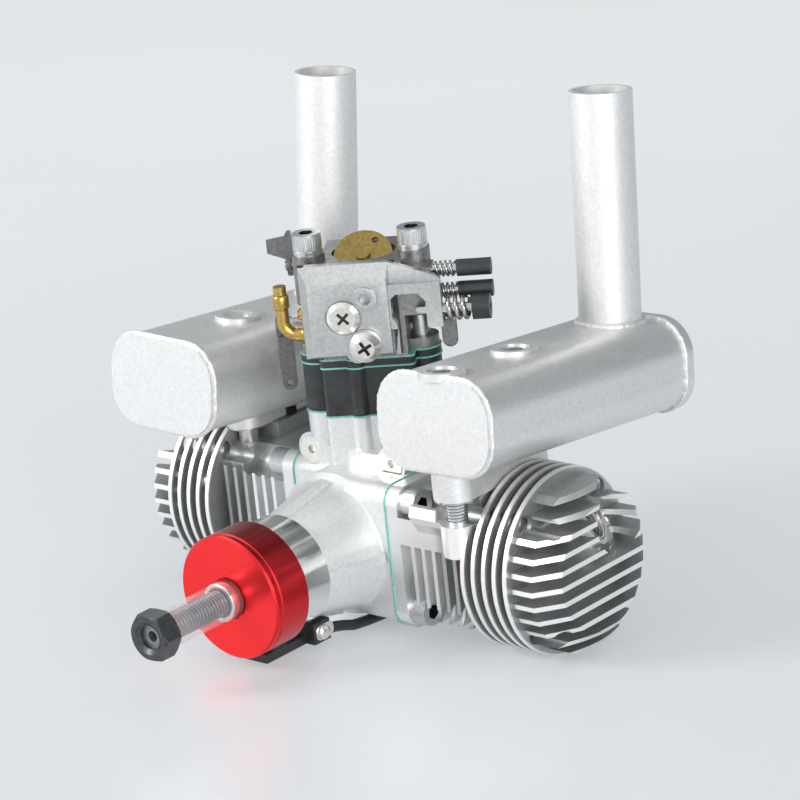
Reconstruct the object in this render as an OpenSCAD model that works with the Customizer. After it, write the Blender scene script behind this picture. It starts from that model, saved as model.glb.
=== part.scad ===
// Flat twin two-stroke engine for a large model aircraft.
// +Z is up through the carburettor, -Y is the propeller end, +X is the right-hand cylinder.
// The origin is the centre of the four mounting bosses, on the crankshaft's axis.

/* [Cylinders] */
// Bore of each cylinder
bore_d = 31; // [30:0.5:31]
// Piston stroke
stroke = 22; // [20:0.5:22]
// Connecting rod length between centres
rod_len = 42; // [42:0.5:43]
// How far each cylinder sits ahead of or behind the middle plane
stagger = 5; // [5:0.5:5.5]
// Diameter of the round cooling fins
fin_d = 55; // [50:1:56]
// Spacing of the round cooling fins
fin_pitch = 3.86; // [3.6:0.02:3.9]
// Thickness of a round cooling fin
fin_t = 1.4; // [1:0.1:1.8]
// Number of level fins across a head
head_fins = 11; // [9:2:11]
// Spacing of the level head fins
head_pitch = 4.66; // [4.4:0.02:4.7]

/* [Crankcase] */
// Distance from the crankshaft axis to each cylinder seat
seat_x = 22; // [22:0.5:23]
// Side of the square cylinder seat
seat_w = 43; // [42:0.5:44]
// Radius of the round crank chamber outside
case_r = 22; // [21.5:0.25:22.5]
// Height of the inlet pillar face above the crankshaft axis
pillar_top = 36; // [35:0.5:38]
// Thickness of every gasket
gasket_t = 0.5; // [0.3:0.1:0.6]

/* [Propeller drive] */
// Diameter of the red propeller hub
hub_d = 37.3; // [34:0.1:38]
// Thread diameter of the propeller shaft
thread_d = 8; // [8:1:8]
// Outer diameter of the clear sleeve on the thread
sleeve_d = 11.4; // [10.5:0.1:12]

/* [Mufflers] */
// Width of a muffler can
can_w = 40.7; // [39:0.1:41]
// Height of a muffler can
can_h = 27.5; // [26:0.1:28]
// Length of a muffler can
can_len = 95.5; // [94:0.5:97]
// Angle by which each can falls towards the tail
can_pitch = 6; // [5:0.5:7]
// Outer diameter of an outlet tube
tube_d = 18.7; // [18:0.1:19]
// Length of an outlet tube
tube_len = 69.2; // [60:0.2:80]

/* [Carburettor] */
// Turn of the carburettor about its own upright axis
carb_turn = 34; // [30:1:36]
// Spacing of the two long carburettor bolts
carb_bolt_gap = 31; // [31:0.5:31.5]
// Height of the carburettor body
carb_h = 27.7; // [27.2:0.1:28]
// Tilt of the choke plate at rest
choke_rest = 38; // [30:1:45]

/* [Hidden] */
$fn = 64;
eps = 0.02;

// Colours
cast_grey = "#b9bcbd";
steel = "#a9abad";
bright = "#c9cccd";
anodised_red = "#c4161c";
black_plastic = "#17181b";
gasket_green = "#3fae90";
brass = "#c9962e";
blasted = "#aeafaf";

// Working sizes
bore_r = bore_d / 2;
throw_r = stroke / 2;
fin_r = fin_d / 2;
seat_face = seat_x + gasket_t;
flange_t = 4.3;
flange_face = seat_face + flange_t;
base_bolt = 16.7;
small_fins = 6;
big_fins = 5;
last_fin_x = 69.4;
first_fin_x = last_fin_x - (big_fins - 1) * fin_pitch;
head_end_x = 84;
head_r = 25.7;
chamber_x = 62.8;
chamber_h = 5.26;
shaft_r = 7.5;
thread_r = thread_d / 2 - 0.35;
bolt5_r = 2.5;
head5_r = 4.25;
head5_h = 5;
hex5 = 4;

// Bench on which the engine rests, nose down on its sensor strip and on both sets of fins
strip_end_y = -64;
strip_low_z = -22.5;
strip_reach = -strip_end_y - stagger;
bench_pitch = asin(fin_r / norm([strip_reach, strip_low_z])) - atan(-strip_low_z / strip_reach);
bench_low = fin_r + stagger * sin(bench_pitch);

// Carburettor frame: x along the bolt line, -y towards the pump cover
bore_y = 5.6;
carb_low = pillar_top + 18.1;
carb_top = carb_low + carb_h;
lug_top = carb_top + 2;
throttle_z = carb_low + 6.4;
choke_z = carb_top - 2.8;
body_front = -11;
body_rear = 18.5;
cover_front = -16;
lug_x = carb_bolt_gap / 2;

// Lays children along X, with what was up pointing along +X
module along_x() { rotate([0, 90, 0]) children(); }

// Lays children along Y, with what was up pointing along +Y
module along_y() { rotate([-90, 0, 0]) children(); }

// Turns what is drawn for the right-hand side into the left-hand side
module to_left() { rotate([0, 0, 180]) children(); }

// Moves children from the middle plane between the cylinders to the mounting face's origin
module at_engine() { translate([0, -mount_face, 0]) children(); }

// Moves children to the carburettor's own frame
module at_carb() { translate([0, -1, 0]) rotate([0, 0, carb_turn]) children(); }

// Moves children from level axes at the bench's height to the engine's axes
module on_bench() { rotate([-bench_pitch, 0, 0]) translate([0, 0, -bench_low]) children(); }

// Square outline with round corners, centred
module round_rect(w, h, r) {
    square([w, h - 2 * r], center = true);
    square([w - 2 * r, h], center = true);
    for (sx = [-1, 1]) for (sy = [-1, 1]) translate([sx * (w / 2 - r), sy * (h / 2 - r)]) circle(r = r);
}

// Cap screw with its head base at z = 0, shank down and hex socket up
module cap_screw(shank_r, shank_l, head_r, head_h, hex_af) {
    difference() {
        union() {
            cylinder(h = head_h, r = head_r);
            translate([0, 0, -shank_l]) cylinder(h = shank_l + eps, r = shank_r);
        }
        translate([0, 0, head_h * 0.45]) cylinder(h = head_h, r = hex_af / sqrt(3), $fn = 6);
    }
}

// Flat washer standing on z = 0
module washer(inner_r, outer_r, t) {
    difference() {
        cylinder(h = t, r = outer_r);
        translate([0, 0, -t]) cylinder(h = 3 * t, r = inner_r);
    }
}

// Ball bearing with its axis along Y, from y = 0
module bearing(inner_r, outer_r, w, balls) {
    mid_r = (inner_r + outer_r) / 2;
    race = (outer_r - inner_r) * 0.27;
    along_y() {
        washer(outer_r - race, outer_r, w);
        washer(inner_r, inner_r + race, w);
    }
    for (i = [0:balls - 1])
        rotate([0, i * 360 / balls, 0]) translate([mid_r, w / 2, 0])
            sphere(r = (outer_r - inner_r) / 2 - race - eps, $fn = 32);
}

// Points of a round wire swept along a helix that climbs +Z, closed at both ends
function helix_ring(a, z, coil_r, wire_r, sides) = [
    for (s = [0:sides - 1]) let (b = 360 * s / sides)
        [(coil_r + wire_r * cos(b)) * cos(a), (coil_r + wire_r * cos(b)) * sin(a), z + wire_r * sin(b)]
];

// Faces of a tube of rings, with flat ends
function tube_faces(rings, sides) = concat(
    [[for (s = [0:sides - 1]) s]],
    [for (k = [0:rings - 2]) for (s = [0:sides - 1])
        [k * sides + s, (k + 1) * sides + s, (k + 1) * sides + (s + 1) % sides, k * sides + (s + 1) % sides]],
    [[for (s = [0:sides - 1]) rings * sides - 1 - s]]
);

// Compression or torsion spring of round wire, from z = 0 to z = length
module coil_spring(coil_r, wire_r, length, turns) {
    sides = 6;
    steps = 14;
    rings = turns * steps + 1;
    rise = (length - 2 * wire_r) / (rings - 1);
    pts = [for (k = [0:rings - 1])
        each helix_ring(k * 360 / steps, wire_r + k * rise, coil_r, wire_r, sides)];
    polyhedron(points = pts, faces = tube_faces(rings, sides), convexity = 8);
}

// Outline shared by the insulator, its plate and its gaskets, in the carburettor frame
module intake_outline(grow = 0) {
    translate([0, 1.9]) round_rect(27.6 + 2 * grow, 25 + 2 * grow, 1.6);
    for (s = [-1, 1]) translate([s * lug_x, 0]) circle(r = 5.2 + grow);
    translate([-3.4, -8.8]) circle(r = 3.2 + grow);
}

// Holes shared by everything that the long carburettor bolts pass through
module intake_holes(z0, z1, passage_r) {
    translate([0, bore_y, z0 - 1]) cylinder(h = z1 - z0 + 2, r = passage_r);
    for (s = [-1, 1]) translate([s * lug_x, 0, z0 - 1]) cylinder(h = z1 - z0 + 2, r = bolt5_r + 0.15);
}

// Crankcase casting with the snout, the two cylinder seats and the inlet pillar
case_back = 27;
boss_front = -24;
snout_base = -27;
snout_end = -46.3;
nose_end = -56.5;
lug_z = 24;
case_lug_x = 15.5;
chamber_r = 18.6;

module seat_block() {
    translate([0, -stagger, 0]) along_x() round_rect_prism(seat_w, seat_w, 5, seat_x);
}

// Prism of a round-cornered square, standing on z = 0
module round_rect_prism(w, h, r, l) {
    linear_extrude(l) round_rect(w, h, r);
}

module snout_rib(angle) {
    rotate([0, angle, 0]) translate([0, snout_end, 0]) rotate([90, 0, 90])
        translate([0, 0, -1.6]) linear_extrude(3.2)
            polygon([[0, 0], [0, 16.2], [snout_base - snout_end, 21], [snout_base - snout_end + 2, 0]]);
}

module crankcase_outside() {
    translate([0, boss_front, 0]) along_y() cylinder(h = case_back - boss_front, r = case_r);
    translate([0, snout_base, 0]) along_y()
        cylinder(h = boss_front - snout_base, r1 = case_r - 2.4, r2 = case_r);
    translate([0, snout_end, 0]) along_y() cylinder(h = snout_base - snout_end, r1 = 15.6, r2 = case_r - 2.4);
    translate([0, nose_end, 0]) along_y() cylinder(h = snout_end - nose_end + 1, r = 13.5);
    for (a = [0:90:270]) snout_rib(a);
    seat_block();
    to_left() seat_block();
    for (sx = [-1, 1]) for (sz = [-1, 1])
        translate([sx * case_lug_x, -14.5, sz * lug_z]) along_y() cylinder(h = case_back + 14.5, r = 5.2);
    translate([-case_lug_x, -14.5, 12]) cube([2 * case_lug_x, case_back + 14.5, 14]);
    at_carb() pillar();
}

// Inlet pillar under the insulator, with chamfered corners
module pillar() {
    translate([0, 0, 14]) linear_extrude(pillar_top - 14) intersection() {
        intake_outline();
        polygon([[-9, -14], [9, -14], [22, -2], [22, 3], [14, 16], [-14, 16], [-22, 3], [-22, -3]]);
    }
}

module crankcase() {
    color(cast_grey) at_engine() difference() {
        crankcase_outside();
        // Crank chamber, open to the rear cover
        translate([0, -15, 0]) along_y() cylinder(h = case_back + 16, r = chamber_r);
        // Bearing, seal and shaft bores
        translate([0, -26, 0]) along_y() cylinder(h = 12, r = 17.5);
        translate([0, snout_end - 12, 0]) along_y() cylinder(h = 60, r = 9.5);
        translate([0, nose_end - 1, 0]) along_y() cylinder(h = 8.5, r = 12);
        // Cylinder spigot bores
        for (s = [-1, 1]) translate([0, -s * stagger, 0]) rotate([0, s * 90, 0]) cylinder(h = 30, r = 17.6);
        // Threaded holes of the cylinder seats
        for (side = [0, 180]) rotate([0, 0, side]) for (sy = [-1, 1]) for (sz = [-1, 1])
            translate([seat_x - 9, -stagger + sy * base_bolt, sz * base_bolt]) along_x()
                cylinder(h = 12, r = bolt5_r);
        // Through holes and countersinks of the case screws
        for (sx = [-1, 1]) for (sz = [-1, 1]) translate([sx * case_lug_x, -15.5, sz * lug_z]) along_y() {
            cylinder(h = case_back + 20, r = 2.1);
            cylinder(h = 3.6, r1 = 4.6, r2 = 2.1);
        }
        // Inlet passage with the seat of the reed block
        at_carb() {
            translate([0, bore_y, 12]) cylinder(h = 30, r = 9.6);
            translate([0, bore_y, pillar_top - 1.5]) cylinder(h = 5, r = 11);
            for (s = [-1, 1]) translate([s * lug_x, 0, 23]) cylinder(h = 20, r = bolt5_r);
        }
        // Threaded hole of the sensor screw
        translate([3, -43, -30]) cylinder(h = 16, r = sensor_screw_r);
    }
}

// Rear cover with its bearing boss, ribs and the four engine mount bosses
mount_gap = 38;
mount_face = 35;
cover_t = 4;

module rear_cover() {
    color(cast_grey) at_engine() difference() {
        union() {
            translate([0, case_back, 0]) along_y() linear_extrude(cover_t) union() {
                round_rect(44, 43, 8);
                for (sx = [-1, 1]) for (sz = [-1, 1]) translate([sx * case_lug_x, sz * lug_z])
                    circle(r = 5.2);
            }
            translate([0, 15.2, 0]) along_y() cylinder(h = case_back - 15.2 + 1, r = chamber_r - 0.05);
            translate([0, case_back, 0]) along_y() cylinder(h = cover_t + 3, r = 15);
            for (sx = [-1, 1]) for (sz = [-1, 1]) {
                translate([sx * mount_gap / 2, case_back, sz * mount_gap / 2]) along_y()
                    cylinder(h = mount_face - case_back, r = 5);
                rotate([0, sx * sz > 0 ? 45 : -45, 0]) translate([sx * 13, case_back + 1, -1.5])
                    mirror([sx < 0 ? 1 : 0, 0, 0]) cube([12, cover_t + 2.5, 3]);
            }
        }
        translate([0, 14, 0]) along_y() cylinder(h = 11, r = 14);
        for (sx = [-1, 1]) for (sz = [-1, 1]) {
            translate([sx * mount_gap / 2, mount_face - 8, sz * mount_gap / 2]) along_y()
                cylinder(h = 10, r = bolt5_r);
            translate([sx * case_lug_x, case_back - 1, sz * lug_z]) along_y() cylinder(h = 12, r = 1.95);
        }
    }
}

// Four long countersunk screws that hold the crankcase to the rear cover
module case_screws() {
    color(bright) at_engine() for (sx = [-1, 1]) for (sz = [-1, 1])
        translate([sx * case_lug_x, -15.5, sz * lug_z]) along_y() difference() {
            union() {
                translate([0, 0, 0.7]) cylinder(h = 2.8, r1 = 4.1, r2 = 1.95);
                translate([0, 0, 1]) cylinder(h = 43, r = 1.95);
            }
            translate([0, 0, 0.4]) cylinder(h = 2.2, r = 2.5 / sqrt(3), $fn = 6);
        }
}

// Six small screws around the bearing boss of the rear cover
module cover_screws() {
    color(steel) at_engine() for (i = [0:5]) rotate([0, 30 + i * 60, 0])
        translate([11, case_back + cover_t + 3, 0])
        along_y() cap_screw(1.4, 0, 2.6, 2.4, 2.5);
}

// Polished ring on the nose of the snout
ring_front = -57.5;
module nose_ring() {
    color(bright) at_engine() translate([0, snout_end, 0]) rotate([90, 0, 0]) rotate_extrude() polygon([
        [13.5, 0], [16.2, 0], [16.7, 0.5], [16.7, snout_end - ring_front - 0.5],
        [16.2, snout_end - ring_front], [12.2, snout_end - ring_front],
        [12.2, snout_end - nose_end], [13.5, snout_end - nose_end]
    ]);
}

module front_bearing() { color(steel) at_engine() translate([0, nose_end, 0]) bearing(6, 12, 7.4, 9); }
module main_bearing() { color(steel) at_engine() translate([0, -26, 0]) bearing(shaft_r, 17.5, 11, 8); }
module rear_bearing() { color(steel) at_engine() translate([0, 15.8, 0]) bearing(6, 14, 8, 8); }

// Lip seal behind the front bearing
module shaft_seal() {
    color(black_plastic) at_engine() translate([0, -45, 0]) along_y() difference() {
        cylinder(h = 5, r = 9.5);
        translate([0, 0, -1]) cylinder(h = 7, r = shaft_r + 0.1);
    }
}

// Cap-screw heads sit on washers; these are the base bolts of both cylinders
module base_bolts() {
    color(steel) at_engine() for (side = [0, 180]) rotate([0, 0, side]) for (sy = [-1, 1]) for (sz = [-1, 1])
        translate([flange_face, -stagger + sy * base_bolt, sz * base_bolt]) along_x() {
            washer(bolt5_r, 4.4, 0.8);
            translate([0, 0, 0.8]) cap_screw(bolt5_r, 12, head5_r, head5_h, hex5);
        }
}

module base_gaskets() {
    color(gasket_green) at_engine() for (side = [0, 180]) rotate([0, 0, side])
        translate([seat_x, -stagger, 0]) along_x() linear_extrude(gasket_t) difference() {
            round_rect(seat_w + 0.6, seat_w + 0.6, 5.3);
            circle(r = 17.6);
            for (sy = [-1, 1]) for (sz = [-1, 1]) translate([sz * base_bolt, sy * base_bolt])
                circle(r = bolt5_r);
        }
}

// Cylinder and head in one casting, drawn for the right-hand side with its axis at y = 0
port_y = -6;
ear_gap = 32;
ear_x = 50.5;
pad_top = 23.5;
ear_top = 19;
lug_face = 16;
small_fin_top = 14;
block_face = 34.3;
plug_tilt = 29;
plug_turn = 28;
plug_reach = 18;
plug_boss_r = 6.7;
channel_r = 5.9;

// Depth of the outer (-1) and inner (1) muffler bolt holes
function ear_hole(s) = s < 0 ? 9 : 15.4;

// Axis of the spark plug, with +Z along it and the chamber centre at z = 0
module at_plug() {
    translate([62, 0, 1]) rotate([0, 0, plug_turn]) rotate([0, 90 - plug_tilt, 0]) children();
}

module head_envelope() {
    along_x() {
        translate([0, 0, 60]) cylinder(h = 18.5, r = head_r);
        translate([0, 0, 78.5]) cylinder(h = head_end_x - 78.5, r1 = head_r, r2 = 18.7);
    }
}

module head_fin_stack() {
    intersection() {
        head_envelope();
        for (i = [0:head_fins - 1])
            translate([last_fin_x - 1, -30, (i - (head_fins - 1) / 2) * head_pitch - 1.05])
                cube([20, 60, 1.5]);
    }
}

module exhaust_block() {
    // Sloping top of the barrel, its overhang, then the port's pad and the two bolt lugs
    translate([flange_face - 1, 0, 0]) rotate([90, 0, 90]) linear_extrude(first_fin_x - flange_face + 2)
        polygon([[-21.5, 5], [18, 5], [18, 13], [12, ear_top], [-16, ear_top], [-21.5, 13.5]]);
    translate([block_face, 0, 0]) rotate([90, 0, 90]) linear_extrude(first_fin_x - block_face + 1)
        polygon([[-20.2, 8], [19, 8], [19, 14], [12, ear_top], [-24, ear_top], [-25, 16]]);
    translate([42.5, port_y - 11, 10]) cube([12, 22, pad_top - 10]);
    for (s = [-1, 1]) translate([ear_x, port_y + s * ear_gap / 2, 6.5]) cylinder(h = ear_top - 6.5, r = 5.2);
}

module cylinder_outside() {
    translate([seat_face, 0, 0]) along_x() round_rect_prism(seat_w, seat_w, 5, flange_t);
    translate([seat_face - 2.5, 0, 0]) along_x() cylinder(h = 3, r = 17.55);
    translate([seat_face, 0, 0]) along_x() cylinder(h = 45, r = 17.5);
    for (k = [1:small_fins]) translate([first_fin_x - k * fin_pitch, 0, 0]) intersection() {
        along_x() round_rect_prism(seat_w, seat_w, 5, fin_t - 0.1);
        translate([-1, -seat_w, -seat_w]) cube([5, 2 * seat_w, seat_w + small_fin_top]);
    }
    for (k = [0:big_fins - 1]) translate([first_fin_x + k * fin_pitch, 0, 0]) along_x()
        cylinder(h = fin_t, r = fin_r);
    translate([first_fin_x, 0, 0]) along_x() cylinder(h = 19, r = 19);
    translate([60, 0, 0]) along_x() cylinder(h = 17, r1 = 19, r2 = 13);
    exhaust_block();
    head_fin_stack();
    // Ejector pads between the outer fins
    for (a = [20, 140, 260]) rotate([a, 0, 0]) translate([first_fin_x, fin_r - 3.4, 0]) along_x()
        cylinder(h = fin_pitch + fin_t, r = 2.3);
}

module cylinder_casting() {
    difference() {
        cylinder_outside();
        // Spark plug well through the fins
        at_plug() {
            translate([0, 0, plug_reach - 5.5]) cylinder(h = 30, r = 10);
            translate([0, 0, plug_reach]) cylinder(h = 30, r = 11);
        }
        // Cylinder bore and combustion chamber
        translate([seat_x - 5, 0, 0]) along_x() cylinder(h = chamber_x - seat_x + 5, r = bore_r);
        translate([chamber_x - eps, 0, 0]) along_x() cylinder(h = chamber_h, r1 = bore_r, r2 = 7);
        at_plug() cylinder(h = 40, r = 4.5);
        // Exhaust passage
        translate([48, port_y + 3, 10]) cylinder(h = 20, r = 4.6);
        // Room for the muffler flange over the first fins
        translate([ear_x, port_y, pad_top]) linear_extrude(10) flange_outline(0.6);
        // Threaded holes of the muffler bolts, which stop short of the bore
        for (s = [-1, 1]) translate([ear_x, port_y + s * ear_gap / 2, ear_hole(s)]) cylinder(h = 30, r = 3);
        // Gap over the outer lug, where the bolt's thread shows
        translate([ear_x, port_y - ear_gap / 2, lug_face]) cylinder(h = 20, r = 6.8);
        for (sy = [-1, 1]) for (sz = [-1, 1]) translate([0, sy * base_bolt, sz * base_bolt]) along_x() {
            // Through holes of the base bolts, the room around their heads, and the key holes
            translate([0, 0, seat_x]) cylinder(h = 8, r = bolt5_r + 0.15);
            translate([0, 0, flange_face]) cylinder(h = sz > 0 ? 18.5 : 26, r = channel_r);
            translate([0, 0, flange_face + 6]) cylinder(h = 60, r = 2.9);
        }
    }
    // Raised seat of the spark plug, with its threaded hole
    difference() {
        union() {
            at_plug() translate([0, 0, 4]) cylinder(h = plug_reach - 7, r = plug_boss_r + 1);
            at_plug() translate([0, 0, 4]) cylinder(h = plug_reach - 4, r = plug_boss_r);
        }
        at_plug() cylinder(h = 40, r = 4.5);
        translate([50, 0, 0]) along_x() cylinder(h = chamber_x - 50 + chamber_h, r = bore_r + 1);
    }
}

module cylinder_right() { color(cast_grey) at_engine() translate([0, -stagger, 0]) cylinder_casting(); }
module cylinder_left() {
    color(cast_grey) at_engine() to_left() translate([0, -stagger, 0]) cylinder_casting();
}

// Muffler flange outline on the cylinder's pad, seen from above, with its centre at the port
module flange_outline(grow = 0) {
    square([12.8 + 2 * grow, ear_gap], center = true);
    for (s = [-1, 1]) translate([0, s * ear_gap / 2]) circle(r = 6.4 + grow);
}

module exhaust_gaskets() {
    color(steel) at_engine() for (side = [0, 180]) rotate([0, 0, side])
        translate([ear_x, port_y - stagger, pad_top]) linear_extrude(gasket_t) difference() {
            flange_outline();
            translate([-2.5, 3]) circle(r = 4.6);
            for (s = [-1, 1]) translate([0, s * ear_gap / 2]) circle(r = 3.2);
        }
}

// Muffler cans, each in its own frame: y = 0 at the front plate, z = 0 at mid height
can_lean = 1.6;
can_wall = 1.2;
can_x = 49.9;
can_z = 47.35;
front_right = -33.6;
front_left = -40.2;
tube_right = 82.7;
tube_left = 75.3;
plug_r = 4.6;

// side is 1 for the right-hand muffler and -1 for the left-hand one
module at_can(side) {
    translate([side * can_x, side > 0 ? front_right : front_left, can_z])
        rotate([-can_pitch, 0, 0]) rotate([0, -side * can_lean, 0]) children();
}

// Places in the can's own length where the vertical bolt shafts pass its top
function boss_places(side) = side > 0 ? [5.7, 37.8] : [34.2];

module can_outline(grow) {
    round_rect(can_w + 2 * grow, can_h + 2 * grow, 10.5 + grow);
}

// Prism of the can's outline from y0 to y1 in the can's own frame
module can_prism(y0, y1, grow) {
    translate([0, y1, 0]) rotate([90, 0, 0]) linear_extrude(y1 - y0) can_outline(grow);
}

module muffler(side) {
    tube_y = side > 0 ? tube_right : tube_left;
    flange_y = side > 0 ? -stagger + port_y : stagger - port_y;
    difference() {
        union() {
            at_can(side) {
                can_prism(0.4, can_len, 0);
                can_prism(1.2, 2.6, 0.5);
                can_prism(can_len - 4, can_len - 0.6, 0.7);
                for (y = boss_places(side)) translate([0, y, can_h / 2 - 1]) cylinder(h = 2.3, r = 6.9);
            }
            translate([side * ear_x, flange_y, pad_top + gasket_t]) linear_extrude(13) flange_outline();
        }
        at_can(side) {
            difference() {
                can_prism(0.4 + 1.5, can_len - 1.6, -can_wall);
                for (y = boss_places(side)) translate([0, y, 0]) cylinder(h = 20, r = 6.2);
            }
            translate([0, tube_y, 5]) cylinder(h = 20, r = tube_d / 2 - 1.2);
            for (y = boss_places(side)) translate([0, y, can_h / 2 - 4]) cylinder(h = 8, r = plug_r);
        }
        // Exhaust passage and bolt holes of the flange
        translate([side * (ear_x - 2.5), flange_y + side * 3, pad_top]) cylinder(h = 16, r = 4.6);
        for (s = [-1, 1]) translate([side * ear_x, flange_y + s * ear_gap / 2, pad_top]) {
            cylinder(h = 12, r = 3.2);
            translate([0, 0, 7.5]) cylinder(h = 9, r = 5.4);
        }
    }
}

module muffler_right() { color(blasted) at_engine() muffler(1); }
module muffler_left() { color(blasted) at_engine() muffler(-1); }

// Outlet tube with the weld around its foot
module outlet_tube(side) {
    at_can(side) difference() {
        translate([0, side > 0 ? tube_right : tube_left, can_h / 2]) rotate_extrude() polygon([
            [tube_d / 2 - 1.2, 0], [tube_d / 2 + 1.1, 0], [tube_d / 2 + 0.7, 0.8],
            [tube_d / 2, 1.2], [tube_d / 2, tube_len], [tube_d / 2 - 1.2, tube_len]
        ]);
        can_prism(can_len - 4, can_len + 4, 0.7);
    }
}

module outlet_tube_right() { color(blasted) at_engine() outlet_tube(1); }
module outlet_tube_left() { color(blasted) at_engine() outlet_tube(-1); }

// Bolts of the muffler flanges, inside the cans, and the plugs over them
module muffler_bolts() {
    color(steel) at_engine() for (side = [0, 180]) rotate([0, 0, side]) for (s = [-1, 1])
        translate([ear_x, -stagger + port_y + s * ear_gap / 2, pad_top + gasket_t + 7.5])
            cap_screw(3, pad_top + gasket_t + 7.5 - ear_hole(s) - 0.4, 4.8, 4, 5);
}

module muffler_plugs() {
    color(steel) at_engine() for (side = [-1, 1]) for (y = boss_places(side))
        at_can(side) translate([0, y, can_h / 2 - 4]) difference() {
            cylinder(h = side > 0 ? 4.6 : 3.2, r = plug_r);
            translate([0, 0, 1.6]) cylinder(h = 5, r = 5 / sqrt(3), $fn = 6);
        }
}

// Inlet stack between the pillar and the carburettor
block_top = carb_low - 3.1;
module intake_gaskets() {
    color(gasket_green) at_engine() at_carb()
        for (z = [pillar_top, block_top, carb_low - gasket_t]) difference() {
        translate([0, 0, z]) linear_extrude(gasket_t) intake_outline(0.3);
        intake_holes(z, z + gasket_t, 9);
    }
}

module insulator_block() {
    color(black_plastic) at_engine() at_carb() difference() {
        translate([0, 0, pillar_top + gasket_t]) linear_extrude(block_top - pillar_top - gasket_t)
            intake_outline();
        intake_holes(pillar_top, block_top, 8);
    }
}

module insulator_plate() {
    color(black_plastic) at_engine() at_carb() difference() {
        translate([0, 0, block_top + gasket_t]) linear_extrude(carb_low - block_top - 2 * gasket_t)
            intake_outline(0.15);
        intake_holes(block_top, carb_low, 8);
    }
}

// Reed block: a flanged wedge with a steel petal on each slope
module reed_block() {
    at_engine() at_carb() translate([0, bore_y, 0]) {
        color(black_plastic) difference() {
            union() {
                translate([0, 0, pillar_top - 1.5]) cylinder(h = 1.5, r = 11);
                translate([-6, 0, 0]) rotate([90, 0, 90]) linear_extrude(12)
                    polygon([[-6.4, pillar_top - 1], [6.4, pillar_top - 1], [0.8, 21], [-0.8, 21]]);
            }
            translate([-4.6, 0, 0]) rotate([90, 0, 90]) linear_extrude(9.2)
                polygon([[-5, pillar_top + 1], [5, pillar_top + 1], [0.2, 23], [-0.2, 23]]);
            for (s = [-1, 1]) translate([-3.6, s * 3.4 - 2.4, 25]) cube([7.2, 4.8, 6]);
        }
        color(steel) for (s = [0, 180]) rotate([0, 0, s]) translate([-4.4, 0, 0]) rotate([90, 0, 90])
            linear_extrude(8.8) polygon([[6.15, 34], [6.4, 34], [1.35, 22], [1.1, 22]]);
    }
}

// Carburettor body
module carb_body() {
    color(steel) at_engine() at_carb() difference() {
        union() {
            translate([-12.5, body_front, carb_low]) cube([25, body_rear - body_front, carb_h]);
            for (s = [-1, 1]) translate([s * lug_x, 0, 0]) {
                translate([0, 0, carb_low]) cylinder(h = 3, r = 5);
                translate([0, 0, carb_top - 13]) cylinder(h = 15, r = 4.8);
            }
            translate([-lug_x, -5, carb_low]) cube([2 * lug_x, 10, 3]);
            translate([-lug_x, -4.8, carb_top - 13]) cube([2 * lug_x, 9.6, 13]);
            // Wall that carries the two needles
            translate([12, body_front, carb_top - 15.5]) cube([9.5, 8, 14]);
            translate([-17, body_front, carb_low + 1]) cube([6, 9, carb_h - 4]);
        }
        // Air passage: throttle bore, venturi and choke bore
        translate([0, bore_y, 0]) {
            translate([0, 0, carb_low - 1]) cylinder(h = 14.6, r = 7.05);
            translate([0, 0, carb_low + 12]) cylinder(h = 5, r = 6.2);
            translate([0, 0, carb_low + 15.4]) cylinder(h = 20, r = 9.4);
        }
        for (s = [-1, 1]) translate([s * lug_x, 0, carb_low - 1]) cylinder(h = 40, r = bolt5_r + 0.1);
        // Shaft bores
        translate([-40, bore_y, throttle_z]) along_x() cylinder(h = 80, r = 2.03);
        translate([-40, bore_y, choke_z]) along_x() cylinder(h = 54, r = 1.78);
        // Threaded bores of the needles
        for (z = needle_heights) translate([8, needle_y, z]) along_x() cylinder(h = 20, r = 1.55);
        // Bores of the fuel elbow and of the inlet plug
        translate([-18, elbow_y, elbow_z]) along_x() cylinder(h = 5, r = 1.6);
        translate([-18, elbow_y - 1, elbow_z + 6.5]) along_x() cylinder(h = 5, r = 1.5);
    }
}

needle_y = -7.2;
needle_heights = [carb_top - 2.2 - 1, carb_top - 9.8];
elbow_y = -6.5;
elbow_z = carb_low + 7;

// Pump cover: a bevelled plate with the bracket arm that carries the idle screw
idle_y = -13.5;
idle_rod_r = 1.5;
idle_z = carb_low + 14.4;
module cover_outline() {
    polygon([
        [-17, carb_low + 1.4], [10.8, carb_low + 1.4], [10.8, carb_low + 11], [9.5, carb_low + 13],
        [9.5, carb_low + 18.6], [11, carb_low + 20], [17.6, carb_low + 20], [19.6, carb_low + 17.5],
        [19.6, carb_low + 9.6], [24.2, carb_low + 9.6], [24.2, carb_low + 23.4], [22.5, carb_low + 24.8],
        [9, carb_top + 1.9], [-15, carb_top + 1.9], [-17, carb_top]
    ]);
}

// Stands an outline in x and z up, from y = front back to y = back
module upright(front, back) {
    translate([0, back, 0]) rotate([90, 0, 0]) linear_extrude(back - front) children();
}

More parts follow.
